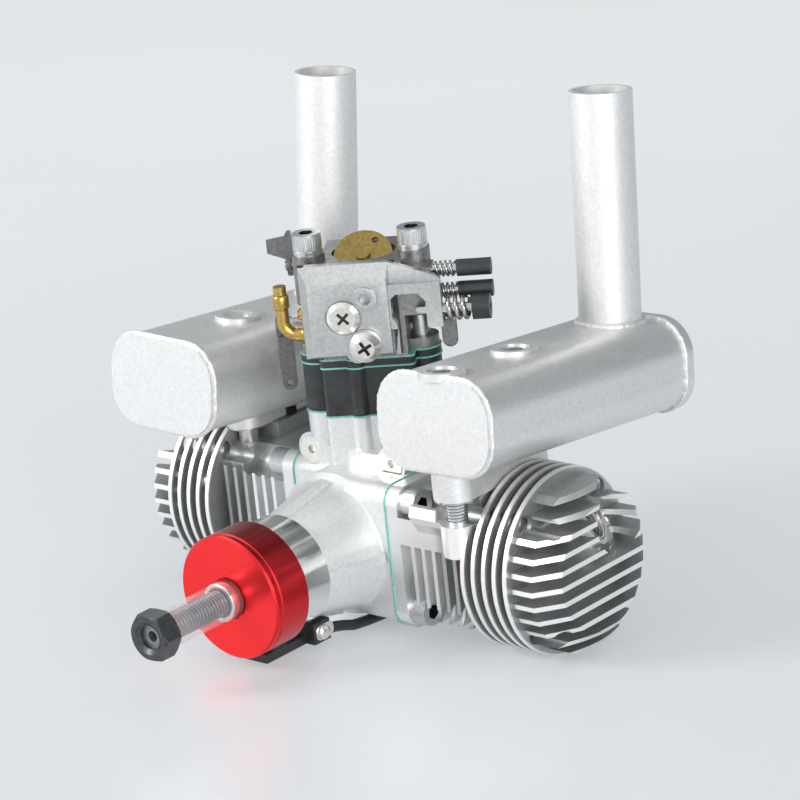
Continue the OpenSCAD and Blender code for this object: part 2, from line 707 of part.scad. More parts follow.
module pump_cover() {
    color(bright) at_engine() at_carb() difference() {
        union() {
            upright(body_front - 2.6, body_front - 0.6) cover_outline();
            hull() {
                upright(body_front - 2.5, body_front - 2.4)
                    translate([-17, carb_low + 1.4]) square([26.5, carb_h + 0.2]);
                upright(cover_front, cover_front + 0.1)
                    translate([-14.6, carb_low + 2.6]) square([23.4, carb_h - 5.4]);
            }
            upright(cover_front + 0.6, body_front - 2) intersection() {
                cover_outline();
                translate([8, carb_low + 9.6]) square([17, 13.4]);
            }
            translate([2.2, cover_front - 1.2, carb_low + 19.6]) along_y() cylinder(h = 4, r = 3.6);
            translate([1.2, cover_front - 0.9, carb_low + 5.6]) along_y() cylinder(h = 3, r = 4.9);
            translate([-1.4, cover_front - 0.9, carb_low + 3.6]) along_y() cylinder(h = 3, r = 3.2);
        }
        translate([2.2, cover_front - 3, carb_low + 19.6]) along_y() cylinder(h = 4.6, r = 1.75);
        translate([-4.6, cover_front - 1, carb_low + 14.2]) along_y() cylinder(h = 2, r = 5.3);
        for (p = pump_screw_places) translate([p[0], cover_front - 3, p[1]]) along_y()
            cylinder(h = 9, r = 2.1);
        translate([5, idle_y, idle_z]) along_x() cylinder(h = 30, r = idle_rod_r + 0.04);
    }
}
pump_screw_places = [[-4.6, carb_low + 14.2], [1.2, carb_low + 5.6]];

module pump_gasket() {
    color(black_plastic) at_engine() at_carb() upright(body_front - 0.6, body_front) difference() {
        translate([-17.3, carb_low + 1.1]) square([28.4, carb_h + 0.6]);
        for (p = pump_screw_places) translate(p) circle(r = 2.1);
    }
}

// Centre screw with a low head in its recess, and the pan-head screw on the tab
module pump_screws() {
    color(bright) at_engine() at_carb() {
        translate([pump_screw_places[0][0], cover_front, pump_screw_places[0][1]]) rotate([90, 0, 0])
            difference() {
                union() {
                    translate([0, 0, -1]) cylinder(h = 1.6, r = 4.9);
                    translate([0, 0, 0.6]) cylinder(h = 0.8, r1 = 4.9, r2 = 3.6);
                    translate([0, 0, -5]) cylinder(h = 5, r = 2);
                }
                for (a = [45, 135]) rotate([0, 0, a]) translate([-2.2, -0.45, 0.4]) cube([4.4, 0.9, 3]);
            }
        translate([pump_screw_places[1][0], cover_front - 0.9, pump_screw_places[1][1]]) rotate([90, 0, 0])
            difference() {
                union() {
                    cylinder(h = 1.6, r = 4.6);
                    translate([0, 0, 1.6]) cylinder(h = 1.5, r1 = 4.6, r2 = 2.9);
                    translate([0, 0, -5]) cylinder(h = 5 + eps, r = 2);
                }
                for (a = [30, 120]) rotate([0, 0, a]) translate([-2.3, -0.5, 1.3]) cube([4.6, 1, 3]);
            }
    }
}

// Metering cover on the far side of the body
module metering_cover() {
    color(bright) at_engine() at_carb() difference() {
        union() {
            upright(body_rear, body_rear + 1.6) translate([-13, carb_low + 1]) square([26, carb_h - 2]);
            translate([0, body_rear + 1, carb_low + carb_h / 2]) along_y() cylinder(h = 2.2, r = 10);
        }
        translate([3, body_rear - 1, carb_low + carb_h / 2 + 3]) along_y() cylinder(h = 6, r = 1);
        for (sx = [-1, 1]) for (sz = [-1, 1])
            translate([sx * 10.4, body_rear - 1, carb_low + carb_h / 2 + sz * 10.4]) along_y()
                cylinder(h = 5, r = 1.6);
    }
}

module metering_screws() {
    color(steel) at_engine() at_carb() for (sx = [-1, 1]) for (sz = [-1, 1])
        translate([sx * 10.4, body_rear + 1.6, carb_low + carb_h / 2 + sz * 10.4]) along_y() difference() {
            union() {
                cylinder(h = 1.7, r = 2.6);
                translate([0, 0, -1.6]) cylinder(h = 1.7, r = 1.5);
            }
            for (a = [0, 90]) rotate([0, 0, a]) translate([-1.4, -0.3, 0.9]) cube([2.8, 0.6, 2]);
        }
}

// Brass elbow on the left of the body, with the collar that holds its hose
elbow_x = -24;
barb_r = 2.4;
barb_z = 10.3;
module fuel_elbow() {
    color(brass) at_engine() at_carb() translate([elbow_x, elbow_y, elbow_z]) difference() {
        union() {
            along_x() cylinder(h = 7, r = 2.2);
            translate([7 - eps, 0, 0]) along_x() cylinder(h = 2.5, r = 1.58);
            sphere(r = 2.2);
            cylinder(h = 15, r = 1.9);
            rotate_extrude() polygon([
                [0, barb_z - 2.3], [1.8, barb_z - 2.3], [barb_r, barb_z - 1.5],
                [barb_r, barb_z + 1.5], [1.8, barb_z + 2.3], [0, barb_z + 2.3]
            ]);
        }
        cylinder(h = 20, r = 1.1);
    }
}

module inlet_plug() {
    color(brass) at_engine() at_carb() translate([-19.2, elbow_y - 1, elbow_z + 6.5]) along_x()
        rotate_extrude()
            polygon([[0, 0], [1.2, 0], [1.7, 0.5], [1.7, 2], [1.48, 2.2], [1.48, 3.8], [0, 3.8]]);
}

// Long bolts through the carburettor and insulator into the pillar, with split and flat washers
module carb_bolts() {
    color(steel) at_engine() at_carb() for (s = [-1, 1]) translate([s * lug_x, 0, lug_top]) {
        washer(bolt5_r, 4.4, 1.2);
        translate([0, 0, 1.2]) cap_screw(bolt5_r - 0.01, 56, head5_r, head5_h, hex5);
    }
}

// Moving parts of the crank train, drawn for the right-hand cylinder with both pistons fully out
pin_x = throw_r + rod_len;
crown_x = pin_x + 9;
skirt_x = pin_x - 11;
pin_r = 4;

module piston() {
    color(bright) {
        difference() {
            translate([skirt_x, 0, 0]) along_x() cylinder(h = crown_x - skirt_x, r = bore_r - 0.02);
            difference() {
                translate([skirt_x - 1, 0, 0]) along_x()
                    cylinder(h = crown_x - skirt_x - 2, r = bore_r - 2.4);
                for (s = [-1, 1]) translate([pin_x, s * 9, 0]) cube([20, 9, 13], center = true);
            }
            translate([pin_x, -20, 0]) along_y() cylinder(h = 40, r = pin_r);
            translate([crown_x - 3.4, 0, 0]) along_x() washer(bore_r - 1.3, bore_r + 1, 1.2);
        }
        translate([crown_x - 3.4, 0, 0]) along_x() washer(bore_r - 1.3, bore_r - 0.03, 1.2);
    }
}

module wrist_pin() {
    color(steel) translate([pin_x, -13.4, 0]) along_y() washer(2.2, pin_r - 0.01, 26.8);
}

// Connecting rod with the crankpin that rides in its big end
rod_w = 6;
pin_half = stagger - 1.7 - 0.15;
module conrod() {
    color(steel) {
        difference() {
            union() {
                translate([throw_r, -rod_w / 2, 0]) along_y() cylinder(h = rod_w, r = 7.2);
                translate([pin_x, -rod_w / 2, 0]) along_y() cylinder(h = rod_w, r = 5.7);
                translate([throw_r, -2, -3.6]) cube([rod_len, 4, 7.2]);
            }
            translate([throw_r, -5, 0]) along_y() cylinder(h = 10, r = pin_r + 0.02);
            translate([pin_x, -5, 0]) along_y() cylinder(h = 10, r = pin_r + 0.01);
            for (s = [-1, 1]) translate([throw_r + 9.5, s * 2.2 - 1, -2]) cube([rod_len - 18, 2, 4]);
        }
        translate([throw_r, -pin_half, 0]) along_y() cylinder(h = 2 * pin_half, r = pin_r);
    }
}

module piston_right() { at_engine() translate([0, -stagger, 0]) piston(); }
module piston_left() { at_engine() to_left() translate([0, -stagger, 0]) piston(); }
module wrist_pin_right() { at_engine() translate([0, -stagger, 0]) wrist_pin(); }
module wrist_pin_left() { at_engine() to_left() translate([0, -stagger, 0]) wrist_pin(); }
module conrod_right() { at_engine() translate([0, -stagger, 0]) conrod(); }
module conrod_left() { at_engine() to_left() translate([0, -stagger, 0]) conrod(); }

// Crankshaft: front shaft and web, centre web and rear web, pressed together with the crankpins
web_r = 17.6;
web_in = 8.35;
web_out = 14.3;
mid_web = 3.4;
shaft_end = -103.4;
module crankshaft() {
    color(steel) at_engine() {
        difference() {
            union() {
                translate([0, -web_out, 0]) along_y() cylinder(h = web_out - web_in, r = web_r);
                translate([0, -45.5, 0]) along_y() cylinder(h = 45.5 - web_out + 1, r = shaft_r - 0.02);
                translate([0, -70, 0]) along_y() cylinder(h = 26, r = 5.98);
                translate([0, shaft_end, 0]) along_y() cylinder(h = 40, r = thread_r);
            }
            translate([0, shaft_end - 1, 0]) along_y() cylinder(h = 11, r = 1.65);
            for (s = [-1, 1]) translate([-6, -web_out - 1, s * 10.5]) along_y() cylinder(h = 10, r = 2.5);
        }
        translate([0, -mid_web / 2, 0]) along_y() cylinder(h = mid_web, r = web_r);
        difference() {
            union() {
                translate([0, web_in, 0]) along_y() cylinder(h = web_out - web_in, r = web_r);
                translate([0, web_out - 1, 0]) along_y() cylinder(h = 10.5, r = 5.98);
            }
            for (s = [-1, 1]) translate([6, web_in - 1, s * 10.5]) along_y() cylinder(h = 10, r = 2.5);
        }
    }
}

// Propeller hub with a shallow groove near its front edge
hub_front = -71.7;
hub_back = -57.9;
collar_seat = 0.8;
module prop_hub() {
    hub_r = hub_d / 2;
    color(anodised_red) at_engine() translate([0, hub_back, 0]) rotate([90, 0, 0]) rotate_extrude() polygon([
        [6, 0], [hub_r - 0.4, 0], [hub_r, 0.4], [hub_r, 11], [hub_r - 0.3, 11.3], [hub_r - 0.3, 11.8],
        [hub_r, 12.1], [hub_r, hub_back - hub_front - 0.6], [hub_r - 0.6, hub_back - hub_front],
        [6.3, hub_back - hub_front], [6.3, hub_back - hub_front - collar_seat],
        [thread_r, hub_back - hub_front - collar_seat], [thread_r, 12.1], [6, 12.1]
    ]);
}

// Hexagonal propeller nut, with its corners turned off at both faces
nut_front = -105.4;
nut_af = 13;
module prop_nut() {
    color(black_plastic) at_engine() translate([0, nut_front, 0]) along_y() difference() {
        intersection() {
            cylinder(h = 6.5, r = nut_af / sqrt(3), $fn = 6);
            union() {
                cylinder(h = 0.9, r1 = nut_af / 2, r2 = nut_af / sqrt(3));
                translate([0, 0, 0.9]) cylinder(h = 5, r = nut_af / sqrt(3));
                translate([0, 0, 5.9]) cylinder(h = 0.6, r1 = nut_af / sqrt(3), r2 = nut_af / 2 + 0.2);
            }
        }
        translate([0, 0, -1]) cylinder(h = 9, r = thread_r);
        translate([0, 0, -0.01]) cylinder(h = 0.9, r1 = 4.9, r2 = thread_r);
    }
}

// Clear sleeve over the thread, with a plain collar against the hub
module shaft_sleeve() {
    color("#d9dde0") at_engine() translate([0, hub_front, 0]) rotate([90, 0, 0]) rotate_extrude() polygon([
        [thread_r, -collar_seat], [6.2, -collar_seat], [6.2, 4.3], [sleeve_d / 2, 4.3],
        [sleeve_d / 2, 22.8], [sleeve_d / 2 - 0.5, 23.3], [thread_d / 2 + 0.05, 23.3],
        [thread_d / 2 + 0.05, 4.3], [thread_r, 4.3]
    ]);
}

// Ignition sensor under the hub, on its bracket under the snout
sensor_screw_r = 1.25;
sensor_screw_at = [3, -43];
module sensor_holder() {
    color(black_plastic) at_engine() difference() {
        union() {
            translate([-4.5, strip_end_y, strip_low_z]) cube([9, 22, 2.6]);
            translate([-4, -47, strip_low_z]) cube([12, 7, 6.4]);
        }
        translate([sensor_screw_at[0], sensor_screw_at[1], strip_low_z - 1])
            cylinder(h = 10, r = sensor_screw_r + 0.1);
        translate([sensor_screw_at[0], sensor_screw_at[1], strip_low_z - 1]) cylinder(h = 2.8, r = 2.6);
        translate([0, -80, 0]) along_y() cylinder(h = 80, r = 17);
        translate([-1.8, -48, -18.4]) cube([3.6, 9, 4]);
    }
}

module sensor_screw() {
    color(bright) at_engine()
        translate([sensor_screw_at[0], sensor_screw_at[1], strip_low_z + 1.8]) difference() {
        union() {
            translate([0, 0, -1.6]) cylinder(h = 1.6, r = 2.4);
            cylinder(h = 6.4, r = sensor_screw_r);
        }
        for (a = [0, 90]) rotate([0, 0, a]) translate([-1.5, -0.3, -2]) cube([3, 0.6, 1.2]);
    }
}

// Sensor lead: its route under the crankcase is in the engine's axes
lead_d = 3.2;
lead_route = [
    [6, -40, -20.6], [6, -36, -20.9], [6, -32, -22], [6, -28, -23.4], [6, -22, -24.2], [6, -15, -24.8],
    [6, -8, -25.5], [6, 0, -26.2], [6, 8, -26.9], [6, 16, -27.7], [6, 24, -28.4], [5.5, 31, -29],
    [5, 38, -29.6], [5, 45, -30.25], [5.4, 50, -30.7], [6.7, 54.4, -31.1], [9.5, 57.5, -31.35]
];
coil_centre = [-1, 75];
coil_mid_r = 18;
coil_w = 7.2;

function unit(v) = v / norm(v);
function lead_tangent(k) = unit(lead_route[min(k + 1, len(lead_route) - 1)] - lead_route[max(k - 1, 0)]);
function lead_side(k) = unit(cross(lead_tangent(k), [0, 0, 1]));
function lead_ring(k, sides) = [
    for (s = [0:sides - 1]) let (b = 360 * s / sides)
        lead_route[k] + lead_d / 2 * (cos(b) * lead_side(k) + sin(b) * cross(lead_side(k), lead_tangent(k)))
];

module sensor_lead() {
    sides = 8;
    color(black_plastic) at_engine() polyhedron(
        points = [for (k = [0:len(lead_route) - 1]) each lead_ring(k, sides)],
        faces = tube_faces(len(lead_route), sides), convexity = 6);
}

module lead_coil() {
    color(black_plastic) at_engine() on_bench() translate([coil_centre[0], coil_centre[1], 0])
        rotate_extrude() translate([coil_mid_r - coil_w / 2, 0]) square([coil_w, 2 * lead_d]);
}

module lead_plug() {
    plug_x = coil_centre[0] - coil_mid_r - coil_w / 2 - 8;
    color(black_plastic) at_engine() on_bench() translate([plug_x, coil_centre[1] - 7, 0]) difference() {
        cube([8, 14, 6]);
        translate([1.5, -1, 1.4]) cube([5, 9, 3.2]);
    }
}

// Throttle: shaft, plate, lever on the right and arm on the left
module throttle_shaft() {
    color(steel) at_engine() at_carb() translate([-27.9, bore_y, throttle_z]) along_x()
        cylinder(h = 52, r = 2);
}

module throttle_plate() {
    color(brass) at_engine() at_carb() translate([0, bore_y, throttle_z]) rotate([-12, 0, 0]) {
        translate([0, 0, 2]) cylinder(h = 0.8, r = 6.35);
        for (s = [-1, 1]) translate([s * 3, 0, 2.8]) cylinder(h = 0.8, r = 1.3);
    }
}

module throttle_lever() {
    color(steel) at_engine() at_carb() difference() {
        union() {
            translate([22.4, bore_y, throttle_z]) along_x() cylinder(h = 1.4, r = 4.2);
            translate([22.4, -7.6, throttle_z - 3.4]) cube([1.4, 7.6 + bore_y, 6.8]);
            upright(-7.6, -6.4) union() {
                translate([22.4, throttle_z - 3.4]) square([4.6, 6.8]);
                translate([24.7, throttle_z - 3.4]) circle(r = 2.3);
            }
        }
        translate([0, bore_y, throttle_z]) along_x() cylinder(h = 30, r = 2);
    }
}

// The arm hangs behind the shaft's axis, so that it swings forward under the fuel elbow
arm_reach = 19;
arm_x = -26.5;
arm_w = 4.4;
arm_y = bore_y + 2.2;
module throttle_arm() {
    color(steel) at_engine() at_carb() difference() {
        union() {
            translate([-27.9, bore_y, throttle_z]) along_x() cylinder(h = 1.2, r = 3.8);
            upright(arm_y, arm_y + 1.2) {
                translate([arm_x - arm_w / 2, throttle_z - arm_reach]) square([arm_w, arm_reach + 1.5]);
                translate([arm_x, throttle_z - arm_reach]) circle(r = arm_w / 2);
            }
        }
        translate([-30, bore_y, throttle_z]) along_x() cylinder(h = 20, r = 2);
        translate([arm_x, arm_y - 1, throttle_z - arm_reach]) along_y() cylinder(h = 4, r = 1);
    }
}

module throttle_spring() {
    color(steel) at_engine() at_carb() translate([18.2, bore_y, throttle_z]) along_x()
        coil_spring(2.65, 0.4, 4, 4);
}

// Choke: shaft, plate and lever
module choke_shaft() {
    color(steel) at_engine() at_carb() translate([-23.4, bore_y, choke_z]) along_x()
        cylinder(h = 35, r = 1.75);
}

module choke_plate() {
    color(brass) at_engine() at_carb()
        translate([0, bore_y, choke_z]) rotate([choke_rest, 0, 0]) difference() {
        union() {
            translate([0, 0, 1.75]) cylinder(h = 0.8, r = 8.7);
            translate([0, 0, 2.55]) cylinder(h = 1.2, r = 2.2);
        }
        translate([3.4, 5, 0]) cylinder(h = 5, r = 1);
    }
}

module choke_lever() {
    color(steel) at_engine() at_carb() difference() {
        union() {
            translate([-22.6, bore_y, choke_z]) along_x() cylinder(h = 1.2, r = 3.4);
            translate([-22.6, bore_y - 3, choke_z]) cube([1.2, 6, 9.5]);
            upright(bore_y - 3, bore_y - 1.8) polygon([
                [-21.4, choke_z + 2], [-21.4, choke_z + 9.5], [-28, choke_z + 8.5], [-28, choke_z + 4.5]
            ]);
        }
        translate([-30, bore_y, choke_z]) along_x() cylinder(h = 20, r = 1.75);
    }
}

// A needle with a black limiter cap: its axis is along X from the body wall
module needle(z) {
    at_carb() translate([21.5, needle_y, z]) {
        color(steel) {
            translate([-11, 0, 0]) along_x() cylinder(h = 18.2, r = 1.5);
            translate([-13.4, 0, 0]) along_x() cylinder(h = 2.5, r1 = 0.3, r2 = 1.5);
        }
        color(black_plastic) translate([7.2, 0, 0]) along_x() difference() {
            cylinder(h = 10, r = 2.5);
            translate([-3, -0.5, 8.6]) cube([6, 1, 3]);
        }
    }
}

module high_needle() { at_engine() needle(needle_heights[0]); }
module low_needle() { at_engine() needle(needle_heights[1]); }

module idle_screw() {
    at_engine() at_carb() translate([24.2, idle_y, idle_z]) {
        color(steel) translate([-7.5, 0, 0]) along_x() cylinder(h = 16.4, r = idle_rod_r);
        color(black_plastic) translate([8.8, 0, 0]) along_x() difference() {
            cylinder(h = 5.2, r = 3.7);
            for (a = [0, 90]) rotate([0, 0, a]) translate([-2.4, -0.5, 3.8]) cube([4.8, 1, 3]);
        }
    }
}

// Springs that hold the two needles and the idle screw by friction
module adjuster_springs() {
    color(steel) at_engine() at_carb() {
        for (z = needle_heights) translate([21.5, needle_y, z]) along_x() coil_spring(2, 0.36, 7.2, 4);
        translate([24.2, idle_y, idle_z]) along_x() coil_spring(3.1, 0.55, 8.8, 3);
    }
}

crankcase();
rear_cover();
case_screws();
cover_screws();
nose_ring();
front_bearing();
main_bearing();
rear_bearing();
shaft_seal();
sensor_holder();
sensor_screw();
sensor_lead();
lead_coil();
lead_plug();
cylinder_right();
cylinder_left();
base_gaskets();
base_bolts();
exhaust_gaskets();
muffler_right();
muffler_left();
outlet_tube_right();
outlet_tube_left();
muffler_bolts();
muffler_plugs();
intake_gaskets();
insulator_block();
insulator_plate();
reed_block();
carb_body();
pump_cover();
pump_gasket();
pump_screws();
metering_cover();
metering_screws();
fuel_elbow();
inlet_plug();
carb_bolts();
piston_right();
piston_left();
wrist_pin_right();
wrist_pin_left();
conrod_right();
conrod_left();
crankshaft();
prop_hub();
prop_nut();
shaft_sleeve();
throttle_shaft();
throttle_plate();
throttle_lever();
throttle_arm();
throttle_spring();
choke_shaft();
choke_plate();
choke_lever();
high_needle();
low_needle();
idle_screw();
adjuster_springs();
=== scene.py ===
"""Looks of a flat twin aircraft engine: metal finishes, welds, threads, springs and the sensor's lead."""

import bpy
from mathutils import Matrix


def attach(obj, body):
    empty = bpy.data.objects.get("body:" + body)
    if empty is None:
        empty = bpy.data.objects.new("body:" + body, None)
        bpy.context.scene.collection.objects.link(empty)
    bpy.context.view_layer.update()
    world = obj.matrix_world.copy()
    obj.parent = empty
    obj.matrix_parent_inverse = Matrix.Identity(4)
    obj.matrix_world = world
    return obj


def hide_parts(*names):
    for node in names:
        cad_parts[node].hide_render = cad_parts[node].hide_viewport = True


bl_info = {
    "name": "Flat Twin Engine Looks",
    "version": (1, 0, 0),
    "blender": (4, 5, 0),
    "location": "View3D > Sidebar > Engine",
    "description": "Dresses the flat twin engine and sets its bench, lamps and camera",
    "category": "Object",
}

from math import asin, atan, cos, hypot, pi, radians, sin, tau

import bmesh
import bpy
from bpy.props import FloatProperty, FloatVectorProperty, IntProperty, PointerProperty
from bpy.types import Operator, Panel, PropertyGroup
from mathutils import Matrix, Vector

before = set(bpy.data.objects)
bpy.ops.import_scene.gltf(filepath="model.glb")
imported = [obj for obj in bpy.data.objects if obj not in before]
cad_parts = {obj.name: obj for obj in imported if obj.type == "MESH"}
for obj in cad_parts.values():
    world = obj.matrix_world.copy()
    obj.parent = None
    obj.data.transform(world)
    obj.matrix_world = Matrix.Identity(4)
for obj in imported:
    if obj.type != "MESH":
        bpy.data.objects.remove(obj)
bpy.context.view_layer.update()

MM = 0.001
# The middle plane between the cylinders, seen from the mounting face
MIDDLE = Matrix.Translation((0, -35 * MM, 0))
MIDDLE_Y = -35 * MM
FIN_R = 27.5 * MM
STAGGER = 5 * MM
STRIP_END = Vector((0, -64 * MM, -22.5 * MM))
CARB_TURN = radians(34)
CARB_SHIFT = Vector((0, -1 * MM, 0))
CARB_LOW = 54.1 * MM
CARB_TOP = 81.8 * MM
BASE_BOLT = 16.7 * MM
FLANGE_FACE = 26.8 * MM
CAN_W = 40.7 * MM
CAN_H = 27.5 * MM
THREAD_R = 4 * MM
# Places along the shaft, and heights in the spark plug's hole, in millimetres
SHAFT_END = -103.4
THREAD_FROM = -72
HUB_FRONT = -71.7
NUT_BACK = -98.9
PLUG_SEAT = 18
PLUG_THREAD_FROM = 5
PLUG_THREAD_LENGTH = PLUG_SEAT - PLUG_THREAD_FROM - 0.2
PLUG_PLACE = (62 * MM, 0, 1 * MM)
PLUG_TURN = radians(28)
PLUG_LEAN = radians(61)
FLANGE_BOLT = (50.5 * MM, -22 * MM, 16.2 * MM)
# Distances from the crankshaft: the cylinders' paler foot ends, and the painted highlight on their heads'
# fins starts
PALE_FOOT = 40 * MM
HEAD_FROM = 71.2 * MM
CLIP_SCREW = (8.1 * MM, -43.5 * MM, -19.4 * MM)
CLIP_PLATE = (7.95 * MM, -42.6 * MM, -19.4 * MM)
CLIP_SIZE = (0.7 * MM, 7.5 * MM, 4.6 * MM)
COIL_CENTRE = (-1 * MM, 75 * MM, 0)
CARB_BOLT_X = 15.5 * MM
CARB_HEAD_LOW = 3.2 * MM
# The carburettor's two cross screws in millimetres: x, height over its foot, y of the head's face
CROSSES = ((-4.6, 14.2, -17.3), (1.2, 5.6, -19.9))
# Angles in degrees over which an edge stays crisp: added pieces, and copies with rounded edges
CRISP = 20
SOFT = 40
ELBOW_X = -24 * MM
ELBOW_Y = -6.5 * MM
ELBOW_Z = CARB_LOW + 7 * MM
BORE_Y = 5.6 * MM
THROTTLE_Z = CARB_LOW + 6.4 * MM
NEEDLE_Y = -7.2 * MM
NEEDLE_HEIGHTS = (CARB_TOP - 3.2 * MM, CARB_TOP - 9.8 * MM)
NEEDLE_SPRING = 21.5 * MM
NEEDLE_CAP = 28.6 * MM
IDLE_Y = -13.5 * MM
IDLE_Z = CARB_LOW + 14.4 * MM
IDLE_SPRING = 24.2 * MM
IDLE_CAP = 32.9 * MM
THROTTLE_SPRING = 18.2 * MM
CAN_X = 49.9 * MM
CAN_Z = 47.35 * MM
CAN_FRONT_RIGHT = -33.6 * MM
CAN_FRONT_LEFT = -40.2 * MM
TUBE_Y_RIGHT = 82.7 * MM
TUBE_Y_LEFT = 75.3 * MM
CAN_PITCH = radians(6)
CAN_LEAN = radians(1.6)
TUBE_R = 9.35 * MM

# The lead's route in millimetres, as in the part's own source
LEAD_ROUTE = [
    (6, -40, -20.6), (6, -36, -20.9), (6, -32, -22), (6, -28, -23.4), (6, -22, -24.2), (6, -15, -24.8),
    (6, -8, -25.5), (6, 0, -26.2), (6, 8, -26.9), (6, 16, -27.7), (6, 24, -28.4), (5.5, 31, -29),
    (5, 38, -29.6), (5, 45, -30.25), (5.4, 50, -30.7), (6.7, 54.4, -31.1), (9.5, 57.5, -31.35),
]


# Places

def bench_pitch():
    """Angle by which the engine rests nose down."""
    reach = -STRIP_END.y - STAGGER
    return asin(FIN_R / hypot(reach, STRIP_END.z)) - atan(-STRIP_END.z / reach)


def bench_matrix():
    """Takes level coordinates, with the bench at z = 0, to the engine's own axes."""
    pitch = bench_pitch()
    drop = FIN_R + STAGGER * sin(pitch)
    return MIDDLE @ Matrix.Rotation(-pitch, 4, "X") @ Matrix.Translation((0, 0, -drop))


def carb_matrix():
    """Takes the carburettor's coordinates to the engine's own axes."""
    return MIDDLE @ Matrix.Translation(CARB_SHIFT) @ Matrix.Rotation(CARB_TURN, 4, "Z")


def carb_spot(x, y, z):
    """A spot on the carburettor whose Z axis runs along the carburettor's X."""
    return carb_matrix() @ Matrix.Translation((x, y, z)) @ Matrix.Rotation(pi / 2, 4, "Y")


def can_matrix(side):
    """Takes a muffler can's coordinates to the engine's own axes; side is 1 or -1."""
    front = CAN_FRONT_RIGHT if side > 0 else CAN_FRONT_LEFT
    place = MIDDLE @ Matrix.Translation((side * CAN_X, front, CAN_Z))
    return place @ Matrix.Rotation(-CAN_PITCH, 4, "X") @ Matrix.Rotation(-side * CAN_LEAN, 4, "Y")


# Mesh helpers

def finish_piece(name, bm, material, body, crease=None):
    """Turns a bmesh into an object that rides on a body; edges over `crease` degrees stay crisp."""
    bmesh.ops.recalc_face_normals(bm, faces=bm.faces)
    mesh = bpy.data.meshes.new(name)
    bm.to_mesh(mesh)
    bm.free()
    piece = bpy.data.objects.new(name, mesh)
    bpy.context.scene.collection.objects.link(piece)
    mesh.materials.append(material)
    mesh.polygons.foreach_set("use_smooth", [True] * len(mesh.polygons))
    if crease:
        mesh.set_sharp_from_angle(angle=radians(crease))
        step = piece.modifiers.new("flat_faces", "WEIGHTED_NORMAL")
        step.keep_sharp = True
    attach(piece, body)
    return piece


def add_helix(bm, place, coil_r, wire_r, length, turns, sides=8, steps=24):
    """Adds a spring of round wire that climbs from z = 0 to z = length in `place`."""
    start = bmesh.ops.create_circle(bm, cap_ends=True, radius=wire_r, segments=sides)["verts"]
    bmesh.ops.rotate(bm, verts=start, cent=(0, 0, 0), matrix=Matrix.Rotation(pi / 2, 3, "X"))
    bmesh.ops.translate(bm, verts=start, vec=(coil_r, 0, wire_r))
    old = set(bm.verts) - set(start)
    faces = list({f for v in start for f in v.link_faces})
    edges = list({e for v in start for e in v.link_edges})
    total = int(turns * steps)
    bmesh.ops.spin(
        bm, geom=start + edges + faces, cent=(0, 0, 0), axis=(0, 0, 1),
        dvec=(0, 0, (length - 2 * wire_r) / total), angle=tau * turns, steps=total, use_duplicate=False,
    )
    made = [v for v in bm.verts if v not in old]
    bmesh.ops.transform(bm, matrix=place, verts=made)
    return made


def add_knurl(bm, place, inner, low, high, z0, z1, ridges):
    """Adds a ring from z0 to z1 whose outer side carries straight ridges."""
    old = set(bm.verts)
    rim = bmesh.ops.create_circle(bm, cap_ends=False, radius=high, segments=2 * ridges)["verts"]
    for i, vert in enumerate(rim):
        if i % 2:
            vert.co *= low / high
    core = bmesh.ops.create_circle(bm, cap_ends=False, radius=inner, segments=2 * ridges)["verts"]
    edges = list({e for v in rim + core for e in v.link_edges})
    faces = bmesh.ops.bridge_loops(bm, edges=edges)["faces"]
    grown = bmesh.ops.extrude_face_region(bm, geom=faces)["geom"]
    top = [g for g in grown if isinstance(g, bmesh.types.BMVert)]
    bmesh.ops.translate(bm, verts=top, vec=(0, 0, z1 - z0))
    made = [v for v in bm.verts if v not in old]
    bmesh.ops.transform(bm, matrix=place @ Matrix.Translation((0, 0, z0)), verts=made)
    return made


def add_curve(name, path, thickness, material, radii=None, closed=False):
    """A round bead or cable along a path of points."""
    data = bpy.data.curves.new(name, "CURVE")
    data.dimensions = "3D"
    data.bevel_depth = thickness / 2
    data.bevel_resolution = 3
    data.use_fill_caps = not closed
    spline = data.splines.new("POLY")
    spline.points.add(len(path) - 1)
    spline.use_cyclic_u = closed
    for i, (point, place) in enumerate(zip(spline.points, path)):
        point.co = (*place, 1)
        if radii:
            point.radius = radii[i]
    data.materials.append(material)
    piece = bpy.data.objects.new(name, data)
    bpy.context.scene.collection.objects.link(piece)
    return piece


def rounded_path(width, height, corner, step):
    """Points along a rectangle with round corners, `step` apart, in its own plane."""
    half_w, half_h = width / 2 - corner, height / 2 - corner
    points = []
    corners = ((half_w, half_h), (-half_w, half_h), (-half_w, -half_h), (half_w, -half_h))
    for i, (cx, cy) in enumerate(corners):
        for k in range(13):
            turn = (i + k / 12) * pi / 2
            points.append(Vector((cx + corner * cos(turn), cy + corner * sin(turn))))
    points.append(points[0])
    path = [points[0]]
    for a, b in zip(points, points[1:]):
        count = max(1, round((b - a).length / step))
        path += [a.lerp(b, k / count) for k in range(1, count + 1)]
    return path[:-1]


def dress_faces(name, material, chosen):
    """Gives a second material to the faces of a CAD node whose middle passes the test `chosen`."""
    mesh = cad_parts[name].data
    mesh.materials.append(material)
    extra = len(mesh.materials) - 1
    for face in mesh.polygons:
        if chosen(face.center):
            face.material_index = extra


